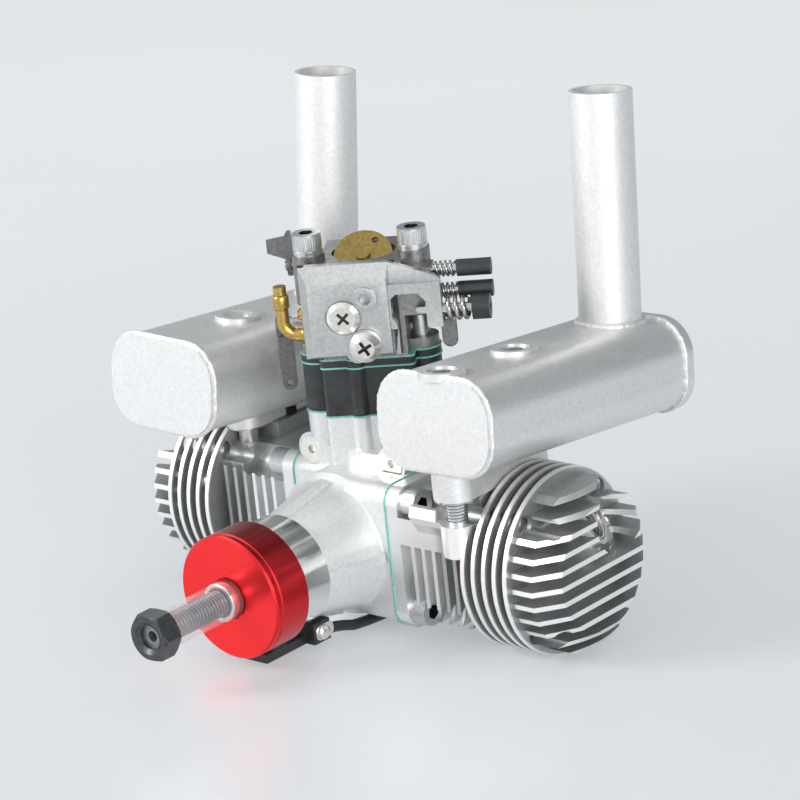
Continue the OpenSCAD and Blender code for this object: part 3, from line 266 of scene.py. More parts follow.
def turn_profile(bm, place, profile, closed=False, steps=64):
    """Adds a turned solid from (radius, height) points in millimetres, about the Z axis of `place`."""
    old = set(bm.verts)
    verts = [bm.verts.new((r * MM, 0, z * MM)) for r, z in profile]
    pairs = list(zip(verts, verts[1:]))
    if closed:
        pairs.append((verts[-1], verts[0]))
    edges = [bm.edges.new(pair) for pair in pairs]
    bmesh.ops.spin(
        bm, geom=verts + edges, cent=(0, 0, 0), axis=(0, 0, 1), angle=tau, steps=steps, use_merge=True,
        use_duplicate=False,
    )
    made = [v for v in bm.verts if v not in old]
    bmesh.ops.remove_doubles(bm, verts=made, dist=1e-7)
    made = [v for v in bm.verts if v not in old]
    bmesh.ops.transform(bm, matrix=place, verts=made)
    return made


def soften(bm, width, least=0.55):
    """Rounds the edges of a merged CAD copy whose faces meet at more than `least` radians."""
    bmesh.ops.remove_doubles(bm, verts=bm.verts, dist=2e-6)
    bmesh.ops.dissolve_limit(bm, angle_limit=radians(0.6), verts=bm.verts, edges=bm.edges)
    sharp = [e for e in bm.edges if len(e.link_faces) == 2 and e.calc_face_angle(0) > least]
    bmesh.ops.bevel(
        bm, geom=sharp, offset=width, offset_type="OFFSET", segments=2, profile=0.5, affect="EDGES",
        clamp_overlap=True, material=-1,
    )
    bmesh.ops.triangulate(bm, faces=[f for f in bm.faces if len(f.verts) > 4])


def soft_copy(name, new_name, width, finish, body="engine"):
    """Replaces a CAD node by a copy of it with rounded edges."""
    bm = bmesh.new()
    bm.from_mesh(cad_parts[name].data)
    soften(bm, width)
    piece = finish_piece(new_name, bm, FINISHES[finish], body, crease=SOFT)
    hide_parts(name)
    return piece


# Material helpers

class Finish:
    """A procedural material built on one Principled shader that reads Object coordinates."""

    def __init__(self, name, colour, metallic=0.0, roughness=0.5, specular=0.5, coat=0.0):
        self.material = bpy.data.materials.new(name)
        self.material.use_nodes = True
        self.nodes = self.material.node_tree.nodes
        self.links = self.material.node_tree.links
        self.shader = self.nodes["Principled BSDF"]
        self.shader.inputs["Base Color"].default_value = (*colour, 1)
        self.shader.inputs["Metallic"].default_value = metallic
        self.shader.inputs["Roughness"].default_value = roughness
        self.shader.inputs["Specular IOR Level"].default_value = specular
        self.shader.inputs["Coat Weight"].default_value = coat
        self.shader.inputs["Coat Roughness"].default_value = 0.2
        self.coords = self.nodes.new("ShaderNodeTexCoord").outputs["Object"]

    def noise(self, scale, detail=4.0, rough=0.55, stretch=None):
        """A noise factor of `scale` features per metre."""
        source = self.coords
        if stretch:
            mapping = self.nodes.new("ShaderNodeMapping")
            mapping.inputs["Scale"].default_value = stretch
            self.links.new(source, mapping.inputs["Vector"])
            source = mapping.outputs["Vector"]
        node = self.nodes.new("ShaderNodeTexNoise")
        node.inputs["Scale"].default_value = scale
        node.inputs["Detail"].default_value = detail
        node.inputs["Roughness"].default_value = rough
        self.links.new(source, node.inputs["Vector"])
        return node.outputs["Fac"]

    def ramp(self, factor, stops):
        """Maps a factor through colour stops of (place, colour)."""
        node = self.nodes.new("ShaderNodeValToRGB")
        elements = node.color_ramp.elements
        while len(elements) < len(stops):
            elements.new(0.5)
        for element, (place, colour) in zip(elements, stops):
            element.position = place
            element.color = (*colour, 1)
        self.links.new(factor, node.inputs["Fac"])
        return node.outputs["Color"]

    def range(self, factor, low, high, out_low, out_high):
        """Rescales a factor, held at its ends."""
        node = self.nodes.new("ShaderNodeMapRange")
        limits = (("From Min", low), ("From Max", high), ("To Min", out_low), ("To Max", out_high))
        for name, value in limits:
            node.inputs[name].default_value = value
        self.links.new(factor, node.inputs["Value"])
        return node.outputs["Result"]

    def mottle(self, stops, scale, detail=4.0, low=0.35, high=0.65):
        """Colour that wanders between the stops."""
        factor = self.range(self.noise(scale, detail), low, high, 0, 1)
        colour = self.ramp(factor, stops)
        self.links.new(colour, self.shader.inputs["Base Color"])
        return colour

    def wander_roughness(self, scale, low, high, stretch=None):
        """Roughness that wanders between two values."""
        factor = self.range(self.noise(scale, stretch=stretch), 0.3, 0.7, low, high)
        self.links.new(factor, self.shader.inputs["Roughness"])

    def bump(self, height, strength, depth):
        """Adds a bump of `depth` metres on top of any that is there."""
        node = self.nodes.new("ShaderNodeBump")
        node.inputs["Strength"].default_value = strength
        node.inputs["Distance"].default_value = depth
        self.links.new(height, node.inputs["Height"])
        normal = self.shader.inputs["Normal"]
        if normal.links:
            self.links.new(normal.links[0].from_socket, node.inputs["Normal"])
        self.links.new(node.outputs["Normal"], normal)

    def math(self, operation, a, b=None):
        """One math node; each value is a socket or a number."""
        node = self.nodes.new("ShaderNodeMath")
        node.operation = operation
        for socket, value in zip(node.inputs, (a, b)):
            if value is None:
                continue
            if isinstance(value, (int, float)):
                socket.default_value = value
            else:
                self.links.new(value, socket)
        return node.outputs[0]

    def axes(self):
        """The three object coordinates as sockets."""
        node = self.nodes.new("ShaderNodeSeparateXYZ")
        self.links.new(self.coords, node.inputs["Vector"])
        return node.outputs["X"], node.outputs["Y"], node.outputs["Z"]

    def facing(self):
        """The three parts of the object's normal as sockets."""
        node = self.nodes.new("ShaderNodeSeparateXYZ")
        texture = next(n for n in self.nodes if n.type == "TEX_COORD")
        self.links.new(texture.outputs["Normal"], node.inputs["Vector"])
        return node.outputs["X"], node.outputs["Y"], node.outputs["Z"]

    def blend_colour(self, factor, under, over):
        """Lays the colour `over` on the socket or colour `under` where factor is 1."""
        node = self.nodes.new("ShaderNodeMix")
        node.data_type = "RGBA"
        self.links.new(factor, node.inputs["Factor"])
        slots = [s for s in node.inputs if s.type == "RGBA"]
        for socket, value in zip(slots, (under, over)):
            if isinstance(value, tuple):
                socket.default_value = (*value, 1)
            else:
                self.links.new(value, socket)
        result = [s for s in node.outputs if s.type == "RGBA"][0]
        self.links.new(result, self.shader.inputs["Base Color"])
        return result


def cast_metal(name, dark, pale, rough_low, rough_high, grain=0.25, metallic=0.9, scale=900):
    """Blasted cast metal with a fine pebble; `scale` is how fine its colour wanders."""
    finish = Finish(name, pale, metallic=metallic, roughness=rough_low)
    finish.mottle([(0.0, dark), (1.0, pale)], scale)
    finish.wander_roughness(420, rough_low, rough_high)
    finish.bump(finish.noise(2600, 3.0), grain, 0.00012)
    return finish


def finned_metal(name, axis_y):
    """Cast cylinder metal with a paler foot and a painted highlight on the edges of its fins."""
    finish = cast_metal(name, (0.40, 0.41, 0.41), (0.48, 0.49, 0.49), 0.34, 0.46, 0.2, metallic=0.75)
    colour = finish.shader.inputs["Base Color"].links[0].from_socket
    x, y, z = finish.axes()
    inner = finish.range(finish.math("ABSOLUTE", x), PALE_FOOT, PALE_FOOT + 3 * MM, 1, 0)
    colour = finish.blend_colour(inner, colour, (0.78, 0.79, 0.79))
    # Painted highlight: the fins' rims, and the head's faces that do not face up or down, are lightened in
    # the colour
    off = finish.math("SUBTRACT", y, axis_y)
    squares = finish.math("ADD", finish.math("MULTIPLY", off, off), finish.math("MULTIPLY", z, z))
    radius = finish.math("SQRT", squares)
    rim = finish.range(radius, FIN_R - 0.6 * MM, FIN_R - 0.2 * MM, 0, 1)
    _, _, facing_z = finish.facing()
    upright = finish.range(finish.math("ABSOLUTE", facing_z), 0.5, 0.8, 1, 0)
    outer = finish.range(finish.math("ABSOLUTE", x), HEAD_FROM, HEAD_FROM + 0.6 * MM, 0, 1)
    painted_edge_highlight = finish.math("MAXIMUM", rim, finish.math("MULTIPLY", upright, outer))
    finish.blend_colour(painted_edge_highlight, colour, (0.90, 0.90, 0.89))
    return finish


def turned_metal(name, colour, roughness, ring_mm, axis="Y", strength=0.12):
    """Metal with fine lathe rings along one axis."""
    finish = Finish(name, colour, metallic=1.0, roughness=roughness)
    place = dict(zip("XYZ", finish.axes()))[axis]
    rings = finish.math("SINE", finish.math("MULTIPLY", place, tau / (ring_mm * MM)))
    finish.bump(rings, strength, 0.00003)
    finish.wander_roughness(300, roughness * 0.8, roughness * 1.3)
    return finish


def build_finishes():
    """Every material of the engine, by its short name."""
    looks = bpy.context.scene.engine_colours
    can = tuple(looks.can_colour)
    shade = tuple(0.9 * c for c in can)
    made = {}
    made["case"] = cast_metal("case_cast", (0.72, 0.73, 0.73), (0.80, 0.81, 0.81), 0.36, 0.46, metallic=0.5)
    made["fins_right"] = finned_metal("fins_right", MIDDLE_Y - STAGGER)
    made["fins_left"] = finned_metal("fins_left", MIDDLE_Y + STAGGER)
    made["ring"] = turned_metal("turned_ring", (0.86, 0.87, 0.87), 0.14, 0.25)
    made["cover"] = cast_metal("cover_blasted", (0.44, 0.45, 0.45), (0.54, 0.55, 0.55), 0.34, 0.46, 0.2)
    made["carb"] = cast_metal("carb_cast", (0.22, 0.22, 0.215), (0.32, 0.32, 0.31), 0.34, 0.5, 0.3)
    made["can"] = cast_metal("can_blasted", shade, can, 0.4, 0.5, 0.3, metallic=0.75)
    made["tube"] = cast_metal("tube_blasted", shade, can, 0.5, 0.6, 0.25, metallic=0.7)
    made["steel"] = turned_metal("turned_steel", (0.50, 0.50, 0.51), 0.24, 0.4)
    made["screw"] = cast_metal("screw_steel", (0.56, 0.57, 0.58), (0.64, 0.65, 0.66), 0.28, 0.36, 0.04)
    made["bright_screw"] = cast_metal(
        "bright_screw", (0.72, 0.71, 0.66), (0.82, 0.81, 0.76), 0.16, 0.26, 0.05,
    )
    # Painted shade: near black, for the faces inside the screws' hex sockets and crosses
    made["socket"] = cast_metal("socket_shade", (0.05, 0.05, 0.05), (0.09, 0.09, 0.09), 0.34, 0.46, 0.08)
    made["spring"] = cast_metal("spring_wire", (0.34, 0.34, 0.34), (0.46, 0.46, 0.46), 0.2, 0.3, 0.04)
    made["brass"] = cast_metal("brass_metal", (0.46, 0.30, 0.08), (0.60, 0.40, 0.12), 0.2, 0.32, 0.04)
    made["butterfly"] = cast_metal("plate_brass", (0.27, 0.19, 0.06), (0.38, 0.27, 0.09), 0.2, 0.32, 0.04)
    made["piston"] = turned_metal("piston_crown", (0.60, 0.60, 0.61), 0.3, 0.4, "X")

    red = Finish("red_anodised", tuple(looks.hub_colour), metallic=0.85, roughness=0.3, coat=0.1)
    grain = red.nodes.new("ShaderNodeTangent")
    grain.direction_type = "RADIAL"
    grain.axis = "Y"
    red.links.new(grain.outputs[0], red.shader.inputs["Tangent"])
    red.shader.inputs["Anisotropic"].default_value = 0.6
    red.shader.inputs["Anisotropic Rotation"].default_value = 0.25
    # Painted shade: the hub's sides are darker than its front face, and darker still where they face upward
    _, facing_y, facing_z = red.facing()
    painted_top_shade = red.range(facing_z, 0.1, 0.95, 0, 1)
    side = red.blend_colour(painted_top_shade, (0.66, 0.016, 0.022), (0.20, 0.006, 0.01))
    flat = red.range(red.math("ABSOLUTE", facing_y), 0.5, 0.8, 0, 1)
    red.blend_colour(flat, side, tuple(looks.hub_colour))
    made["red"] = red

    black = Finish("black_oxide", (0.06, 0.066, 0.07), metallic=0.6, roughness=0.38)
    black.mottle([(0.0, (0.045, 0.05, 0.053)), (1.0, (0.075, 0.082, 0.086))], 700)
    black.bump(black.noise(1800), 0.08, 0.0001)
    made["black"] = black

    plastic = Finish("black_plastic", (0.02, 0.022, 0.024), roughness=0.36)
    plastic.mottle([(0.0, (0.016, 0.018, 0.02)), (1.0, (0.03, 0.033, 0.035))], 240)
    plastic.bump(plastic.noise(1500), 0.12, 0.0001)
    _, _, z = plastic.axes()
    line = plastic.math("SINE", plastic.math("MULTIPLY", z, tau / (1.6 * MM)))
    plastic.bump(line, 0.05, 0.00005)
    made["plastic"] = plastic

    rubber = Finish("black_rubber", (0.014, 0.014, 0.016), roughness=0.42)
    rubber.bump(rubber.noise(900), 0.15, 0.0001)
    rubber.wander_roughness(220, 0.34, 0.5)
    made["rubber"] = rubber

    gasket = Finish("mint_gasket", tuple(looks.gasket_colour), roughness=0.7)
    gasket_shade = tuple(0.7 * c for c in looks.gasket_colour)
    gasket.mottle([(0.0, gasket_shade), (1.0, tuple(looks.gasket_colour))], 900)
    gasket.bump(gasket.noise(3000), 0.3, 0.0001)
    made["gasket"] = gasket

    clear = Finish("clear_sleeve", (0.97, 0.95, 0.95), roughness=0.08, coat=0.6)
    facing = clear.nodes.new("ShaderNodeLayerWeight")
    facing.inputs["Blend"].default_value = 0.5
    clear.links.new(
        clear.range(facing.outputs["Facing"], 0.45, 1.0, 0.03, 0.36), clear.shader.inputs["Alpha"],
    )
    clear.wander_roughness(500, 0.06, 0.12)
    made["clear"] = clear

    cuff = Finish("sleeve_cuff", (0.70, 0.68, 0.68), metallic=0.8, roughness=0.18)
    cuff.wander_roughness(300, 0.16, 0.26)
    made["cuff"] = cuff
    made["seat"] = turned_metal("plug_seat", (0.80, 0.80, 0.79), 0.2, 0.3, "Z", 0.05)
    made["lever"] = cast_metal(
        "lever_plate", (0.12, 0.12, 0.12), (0.18, 0.18, 0.18), 0.3, 0.42, 0.08, metallic=0.4,
    )
    made["thread"] = cast_metal(
        "thread_steel", (0.17, 0.18, 0.19), (0.22, 0.23, 0.24), 0.28, 0.36, 0.05, metallic=0.5,
    )
    made["weld"] = cast_metal("weld_bead", shade, can, 0.36, 0.46, 0.12, metallic=0.6)
    return {key: value.material for key, value in made.items()}


FINISH_OF_NODE = {
    "case": ["crankcase", "rear_cover"],
    "fins_right": ["cylinder_right"],
    "fins_left": ["cylinder_left"],
    "ring": ["nose_ring"],
    "cover": ["pump_cover", "metering_cover"],
    "carb": ["carb_body"],
    "can": ["muffler_right", "muffler_left"],
    "tube": ["outlet_tube_right", "outlet_tube_left"],
    "steel": [
        "front_bearing", "main_bearing", "rear_bearing", "wrist_pin_right", "wrist_pin_left",
        "conrod_right", "conrod_left", "crankshaft", "throttle_shaft", "choke_shaft", "high_needle",
        "low_needle", "idle_screw", "exhaust_gaskets",
    ],
    "lever": ["throttle_lever", "throttle_arm", "choke_lever"],
    "screw": [
        "cover_screws", "base_bolts", "muffler_bolts", "muffler_plugs", "metering_screws", "carb_bolts",
    ],
    "bright_screw": ["case_screws", "pump_screws", "sensor_screw"],
    "spring": ["throttle_spring", "adjuster_springs"],
    "brass": ["fuel_elbow", "inlet_plug"],
    "butterfly": ["throttle_plate", "choke_plate"],
    "piston": ["piston_right", "piston_left"],
    "red": ["prop_hub"],
    "black": ["prop_nut"],
    "plastic": ["insulator_block", "insulator_plate", "reed_block", "sensor_holder", "lead_plug"],
    "rubber": ["sensor_lead", "lead_coil", "pump_gasket", "shaft_seal"],
    "gasket": ["base_gaskets", "intake_gaskets"],
    "clear": ["shaft_sleeve"],
}

FINISHES = {}


class EngineColours(PropertyGroup):
    """Colours that an owner would change."""

    hub_colour: FloatVectorProperty(
        name="Hub", description="Anodised colour of the propeller hub", subtype="COLOR", size=3,
        default=(0.86, 0.024, 0.028), min=0, max=1,
    )
    can_colour: FloatVectorProperty(
        name="Mufflers", description="Blasted colour of the muffler cans", subtype="COLOR", size=3,
        default=(0.80, 0.80, 0.80), min=0, max=1,
    )
    gasket_colour: FloatVectorProperty(
        name="Gaskets", description="Colour of the gaskets' edges", subtype="COLOR", size=3,
        default=(0.22, 0.60, 0.50), min=0, max=1,
    )


class LeadSizes(PropertyGroup):
    """Sizes of the sensor's lead and its coil."""

    thickness: FloatProperty(
        name="Thickness", description="Outer diameter of the lead", default=3.2 * MM, unit="LENGTH",
    )
    coil_radius: FloatProperty(
        name="Coil radius", description="Radius at the middle of the coil's turns", default=18 * MM,
        unit="LENGTH",
    )
    coil_turns: IntProperty(name="Turns", description="Whole turns in the coil", default=3, min=1, max=8)


class ThreadSizes(PropertyGroup):
    """The propeller shaft's thread."""

    pitch: FloatProperty(
        name="Pitch", description="Rise of the thread in one turn", default=1.25 * MM, unit="LENGTH",
    )


class StageSizes(PropertyGroup):
    """The camera's place, the lamps and the bench."""

    azimuth: FloatProperty(
        name="Azimuth", description="Camera's turn from straight ahead", default=radians(42.53),
        unit="ROTATION",
    )
    elevation: FloatProperty(
        name="Elevation", description="Camera's height angle", default=radians(18.59), unit="ROTATION",
    )
    roll: FloatProperty(name="Roll", description="Camera's lean", default=radians(6.11), unit="ROTATION")
    distance: FloatProperty(
        name="Distance", description="Camera's distance", default=1219.07 * MM, unit="LENGTH",
    )
    focal_pixels: FloatProperty(
        name="Focal length", description="Focal length in pixels of an 800-pixel picture", default=4086.5,
    )
    aim_right: FloatProperty(
        name="Aim right", description="Sideways place of the picture's middle", default=2.48 * MM,
        unit="LENGTH",
    )
    aim_up: FloatProperty(
        name="Aim up", description="Upward place of the picture's middle", default=34.77 * MM,
        unit="LENGTH",
    )
    lamp_power: FloatProperty(
        name="Lamps", description="Power of the key lamp", default=11.5, unit="POWER",
    )


class ENGINE_OT_stage(Operator):
    """Adds the camera, the bench, the lamps and the white surround"""

    bl_idname = "engine.stage"
    bl_label = "Stage"

    def execute(self, context):
        sizes = context.scene.engine_stage
        self.add_camera(context, sizes)
        self.add_bench(context)
        self.add_lamps(context, sizes)
        self.set_world(context)
        context.scene.view_settings.view_transform = "Standard"
        return {"FINISHED"}

    def add_camera(self, context, sizes):
        a, e, r = sizes.azimuth, sizes.elevation, sizes.roll
        back = Vector((sin(a) * cos(e), -cos(a) * cos(e), sin(e)))
        right = Vector((cos(a), sin(a), 0))
        up = back.cross(right)
        right, up = cos(r) * right - sin(r) * up, sin(r) * right + cos(r) * up
        data = bpy.data.cameras.new("camera")
        data.sensor_width = 36
        data.lens = sizes.focal_pixels * 36 / 800
        data.clip_start = 0.05
        camera = bpy.data.objects.new("camera", data)
        place = MIDDLE @ (back * sizes.distance + right * sizes.aim_right + up * sizes.aim_up)
        camera.matrix_world = Matrix((
            (right.x, up.x, back.x, place.x), (right.y, up.y, back.y, place.y),
            (right.z, up.z, back.z, place.z), (0, 0, 0, 1),
        ))
        context.scene.collection.objects.link(camera)
        context.scene.camera = camera

    def add_bench(self, context):
        bm = bmesh.new()
        bmesh.ops.create_grid(bm, x_segments=1, y_segments=1, size=4.0, matrix=bench_matrix())
        mesh = bpy.data.meshes.new("bench")
        bm.to_mesh(mesh)
        bm.free()
        bench = bpy.data.objects.new("bench", mesh)
        context.scene.collection.objects.link(bench)
        finish = Finish("bench_pale", (0.82, 0.85, 0.87), roughness=0.24, specular=0.4)
        finish.wander_roughness(6, 0.2, 0.3)
        along, away, _ = finish.axes()
        # Painted light: for the camera and in reflections the bench glows, brighter towards the back and
        # the left and darker near the front
        back, left = finish.math("MULTIPLY", away, 0.74), finish.math("MULTIPLY", along, -0.67)
        far = finish.math("ADD", back, left)
        tone = finish.ramp(
            finish.range(far, -0.3, 0.8, 0, 1), [(0.0, (0.62, 0.66, 0.69)), (1.0, (1.14, 1.16, 1.16))],
        )
        glow = finish.nodes.new("ShaderNodeEmission")
        finish.links.new(tone, glow.inputs["Color"])
        path = finish.nodes.new("ShaderNodeLightPath")
        mix = finish.nodes.new("ShaderNodeMixShader")
        seen = finish.math("MAXIMUM", path.outputs["Is Camera Ray"], path.outputs["Is Glossy Ray"])
        seen = finish.math("MAXIMUM", seen, path.outputs["Is Transmission Ray"])
        finish.links.new(finish.math("MULTIPLY", seen, 0.46), mix.inputs["Fac"])
        finish.links.new(finish.shader.outputs[0], mix.inputs[1])
        finish.links.new(glow.outputs[0], mix.inputs[2])
        finish.links.new(mix.outputs[0], finish.nodes["Material Output"].inputs["Surface"])
        mesh.materials.append(finish.material)

    def add_lamps(self, context, sizes):
        lamps = (
            ("key", (-0.7, -1.0, 0.75), 0.6, 1.0),
            ("fill", (1.0, -0.6, 0.35), 0.8, 0.7),
            ("top", (0.1, 0.3, 1.2), 0.8, 0.08),
        )
        for name, place, size, share in lamps:
            data = bpy.data.lights.new(name, "AREA")
            data.shape = "RECTANGLE"
            data.size = size
            data.size_y = size * 0.7
            data.energy = sizes.lamp_power * share
            lamp = bpy.data.objects.new(name, data)
            lamp.location = place
            aim = Vector((0, MIDDLE_Y, 0.02)) - Vector(place)
            lamp.rotation_euler = aim.to_track_quat("-Z", "Y").to_euler()
            context.scene.collection.objects.link(lamp)

    def set_world(self, context):
        world = bpy.data.worlds.new("surround")
        context.scene.world = world
        world.use_nodes = True
        nodes, links = world.node_tree.nodes, world.node_tree.links
        dim = nodes["Background"]
        dim.inputs["Color"].default_value = (0.95, 0.97, 1.0, 1)
        dim.inputs["Strength"].default_value = 0.55
        white = nodes.new("ShaderNodeBackground")
        white.inputs["Strength"].default_value = 1.0
        coords = nodes.new("ShaderNodeTexCoord")
        facing = nodes.new("ShaderNodeVectorMath")
        facing.operation = "DOT_PRODUCT"
        facing.inputs[1].default_value = Vector((-0.5, -0.75, 0.43))
        links.new(coords.outputs["Generated"], facing.inputs[0])
        room = nodes.new("ShaderNodeValToRGB")
        stops = ((0.0, (0.13, 0.14, 0.15, 1)), (0.45, (0.23, 0.25, 0.26, 1)), (0.8, (0.98, 1.0, 1.0, 1)))
        room.color_ramp.elements.new(0.5)
        for element, (spot, colour) in zip(room.color_ramp.elements, stops):
            element.position = spot
            element.color = colour
        half = nodes.new("ShaderNodeMapRange")
        half.inputs["From Min"].default_value = -1
        links.new(facing.outputs["Value"], half.inputs["Value"])
        links.new(half.outputs["Result"], room.inputs["Fac"])
        links.new(room.outputs["Color"], white.inputs["Color"])
        path = nodes.new("ShaderNodeLightPath")
        mix = nodes.new("ShaderNodeMixShader")
        seen = nodes.new("ShaderNodeMath")
        seen.operation = "MAXIMUM"
        links.new(path.outputs["Is Camera Ray"], seen.inputs[0])
        links.new(path.outputs["Is Transmission Ray"], seen.inputs[1])
        both = nodes.new("ShaderNodeMath")
        both.operation = "MAXIMUM"
        links.new(seen.outputs[0], both.inputs[0])
        links.new(path.outputs["Is Glossy Ray"], both.inputs[1])
        links.new(both.outputs[0], mix.inputs["Fac"])
        links.new(dim.outputs[0], mix.inputs[1])
        links.new(white.outputs[0], mix.inputs[2])
        links.new(mix.outputs[0], nodes["World Output"].inputs["Surface"])


class ENGINE_OT_lead(Operator):
    """Lays the sensor's lead and its coil"""

    bl_idname = "engine.lead"
    bl_label = "Sensor lead"

    def execute(self, context):
        sizes = context.scene.engine_lead
        bench = bench_matrix()
        centre = Vector(COIL_CENTRE)
        straight = [MIDDLE @ (Vector(p) * MM) for p in LEAD_ROUTE]
        level = bench.inverted() @ straight[-1]
        start = Vector((1, 0)).angle_signed(Vector((level.x - centre.x, level.y - centre.y)), 0.0)
        path = list(straight)
        steps = 24
        half = sizes.thickness / 2
        count = sizes.coil_turns * steps
        for i in range(2, count + 1):
            turn = i / steps
            lane = (-0.5, 0.5, 0.0, -0.5, 0.5)
            angle = -start + tau * turn
            k = int(turn)
            side = lane[k % 3] + (lane[(k + 1) % 3] - lane[k % 3]) * max(0, (turn - k) * 4 - 3)
            lift = 0 if turn < 1.7 else min(1, (turn - 1.7) / 0.3)
            radius = sizes.coil_radius + side * 1.06 * sizes.thickness
            spot = (
                centre.x + radius * cos(angle), centre.y + radius * sin(angle),
                half * 1.02 + lift * 0.86 * sizes.thickness,
            )
            path.append(bench @ Vector(spot))
        lead = add_curve("lead_cable", path, sizes.thickness, FINISHES["rubber"])
        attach(lead, "engine")
        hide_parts("sensor_lead", "lead_coil")
        return {"FINISHED"}


class ENGINE_OT_welds(Operator):
    """Runs the weld beads round both muffler cans and the feet of their tubes"""

    bl_idname = "engine.welds"
    bl_label = "Muffler welds"

    def execute(self, context):
        for side, name, tube_y in ((1, "right", TUBE_Y_RIGHT), (-1, "left", TUBE_Y_LEFT)):
            place = can_matrix(side)
            for end, y, grow in (("front", 1.9 * MM, 0.35 * MM), ("rear", 91.6 * MM, 0.3 * MM)):
                outline = rounded_path(CAN_W + 2 * grow, CAN_H + 2 * grow, 10.5 * MM + grow, 0.5 * MM)
                path = [
                    place @ Vector((p.x, y + 0.12 * MM * sin(i * 0.7), p.y)) for i, p in enumerate(outline)
                ]
                radii = [1 + 0.08 * sin(i * tau / 4) for i in range(len(path))]
                bead = add_curve(f"weld_{end}_{name}", path, 1.5 * MM, FINISHES["weld"], radii, True)
                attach(bead, "engine")
            foot = place @ Matrix.Translation((0, tube_y, CAN_H / 2 + 0.2 * MM))
            count = 120
            reach = TUBE_R + 0.3 * MM
            turns = [tau * i / count for i in range(count)]
            path = [foot @ Vector((reach * cos(turn), reach * sin(turn), 0)) for turn in turns]
            radii = [1 + 0.08 * sin(i * tau / 4) for i in range(count)]
            bead = add_curve(f"weld_foot_{name}", path, 2.2 * MM, FINISHES["weld"], radii, True)
            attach(bead, "engine")
        return {"FINISHED"}


class ENGINE_OT_thread(Operator):
    """Winds the thread round the propeller shaft"""

    bl_idname = "engine.thread"
    bl_label = "Shaft thread"

    def execute(self, context):
        sizes = context.scene.engine_thread
        place = MIDDLE @ Matrix.Translation((0, SHAFT_END * MM, 0)) @ Matrix.Rotation(-pi / 2, 4, "X")
        length = (THREAD_FROM - SHAFT_END) * MM
        crest = 0.45 * MM
        bm = bmesh.new()
        add_helix(
            bm, place, THREAD_R - crest, crest, length, length / sizes.pitch, sides=4, steps=28,
        )
        finish_piece("shaft_thread", bm, FINISHES["thread"], "crank", crease=CRISP)
        return {"FINISHED"}


class ENGINE_OT_sleeve(Operator):
    """Turns the clear sleeve that guards the propeller shaft's thread"""

    bl_idname = "engine.sleeve"
    bl_label = "Clear sleeve"

    def execute(self, context):
        place = MIDDLE @ Matrix.Translation((0, HUB_FRONT * MM, 0)) @ Matrix.Rotation(pi / 2, 4, "X")
        far = HUB_FRONT - NUT_BACK
        bm = bmesh.new()
        turn_profile(bm, place, [
            (5.25, 4.6), (5.5, 4.6), (5.7, 4.8), (5.7, far - 0.35), (5.5, far - 0.1), (5.25, far - 0.1),
        ], closed=True)
        sleeve = finish_piece("thread_sleeve", bm, FINISHES["clear"], "crank")
        bm = bmesh.new()
        turn_profile(bm, place, [
            (4.1, 0.02), (5.85, 0.02), (5.85, 4.2), (5.7, 4.45), (4.1, 4.45),
        ], closed=True)
        finish_piece("sleeve_collar", bm, FINISHES["cuff"], "crank")
        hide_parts("shaft_sleeve")
        return {"FINISHED"}


class ENGINE_OT_castings(Operator):
    """Rounds the edges of the castings and adds the threads that show"""

    bl_idname = "engine.castings"
    bl_label = "Castings"

    def execute(self, context):
        for side, name in ((1, "right"), (-1, "left")):
            self.add_threads(side, name)
        soft_copy("crankcase", "crankcase_casting", 0.5 * MM, "case")
        soft_copy("pump_cover", "pump_cover_casting", 0.45 * MM, "cover")
        soft_copy("carb_body", "carb_casting", 0.35 * MM, "carb")
        soft_copy(
            "throttle_lever", "throttle_lever_plate", 0.25 * MM, "lever", "throttle",
        )
        soft_copy("insulator_block", "insulator_moulding", 0.3 * MM, "plastic")
        return {"FINISHED"}

    def add_threads(self, side, name):
        """Adds the threads of a spark plug hole and a flange bolt, and the plug's turned seat."""
        turn = Matrix.Rotation(0 if side > 0 else pi, 4, "Z")
        place = MIDDLE @ turn @ Matrix.Translation((0, -STAGGER, 0))
        seat = place @ Matrix.Translation(PLUG_PLACE) @ Matrix.Rotation(PLUG_TURN, 4, "Z")
        seat = seat @ Matrix.Rotation(PLUG_LEAN, 4, "Y")
        bm = bmesh.new()
        add_helix(
            bm, seat @ Matrix.Translation((0, 0, PLUG_THREAD_FROM * MM)), 4.4 * MM, 0.26 * MM,
            PLUG_THREAD_LENGTH * MM, PLUG_THREAD_LENGTH, sides=6, steps=28,
        )
        bolt = place @ Matrix.Translation(FLANGE_BOLT)
        add_helix(bm, bolt, 2.95 * MM, 0.22 * MM, 7.2 * MM, 7.2, sides=6, steps=24)
        finish_piece(f"screw_threads_{name}", bm, FINISHES["thread"], "engine", crease=CRISP)
        bm = bmesh.new()
        turn_profile(bm, seat, [
            (4.55, PLUG_SEAT - 0.1), (4.8, PLUG_SEAT + 0.12), (6.2, PLUG_SEAT + 0.12),
            (6.45, PLUG_SEAT - 0.1),
        ], closed=True)
        finish_piece(f"plug_seat_{name}", bm, FINISHES["seat"], "engine")


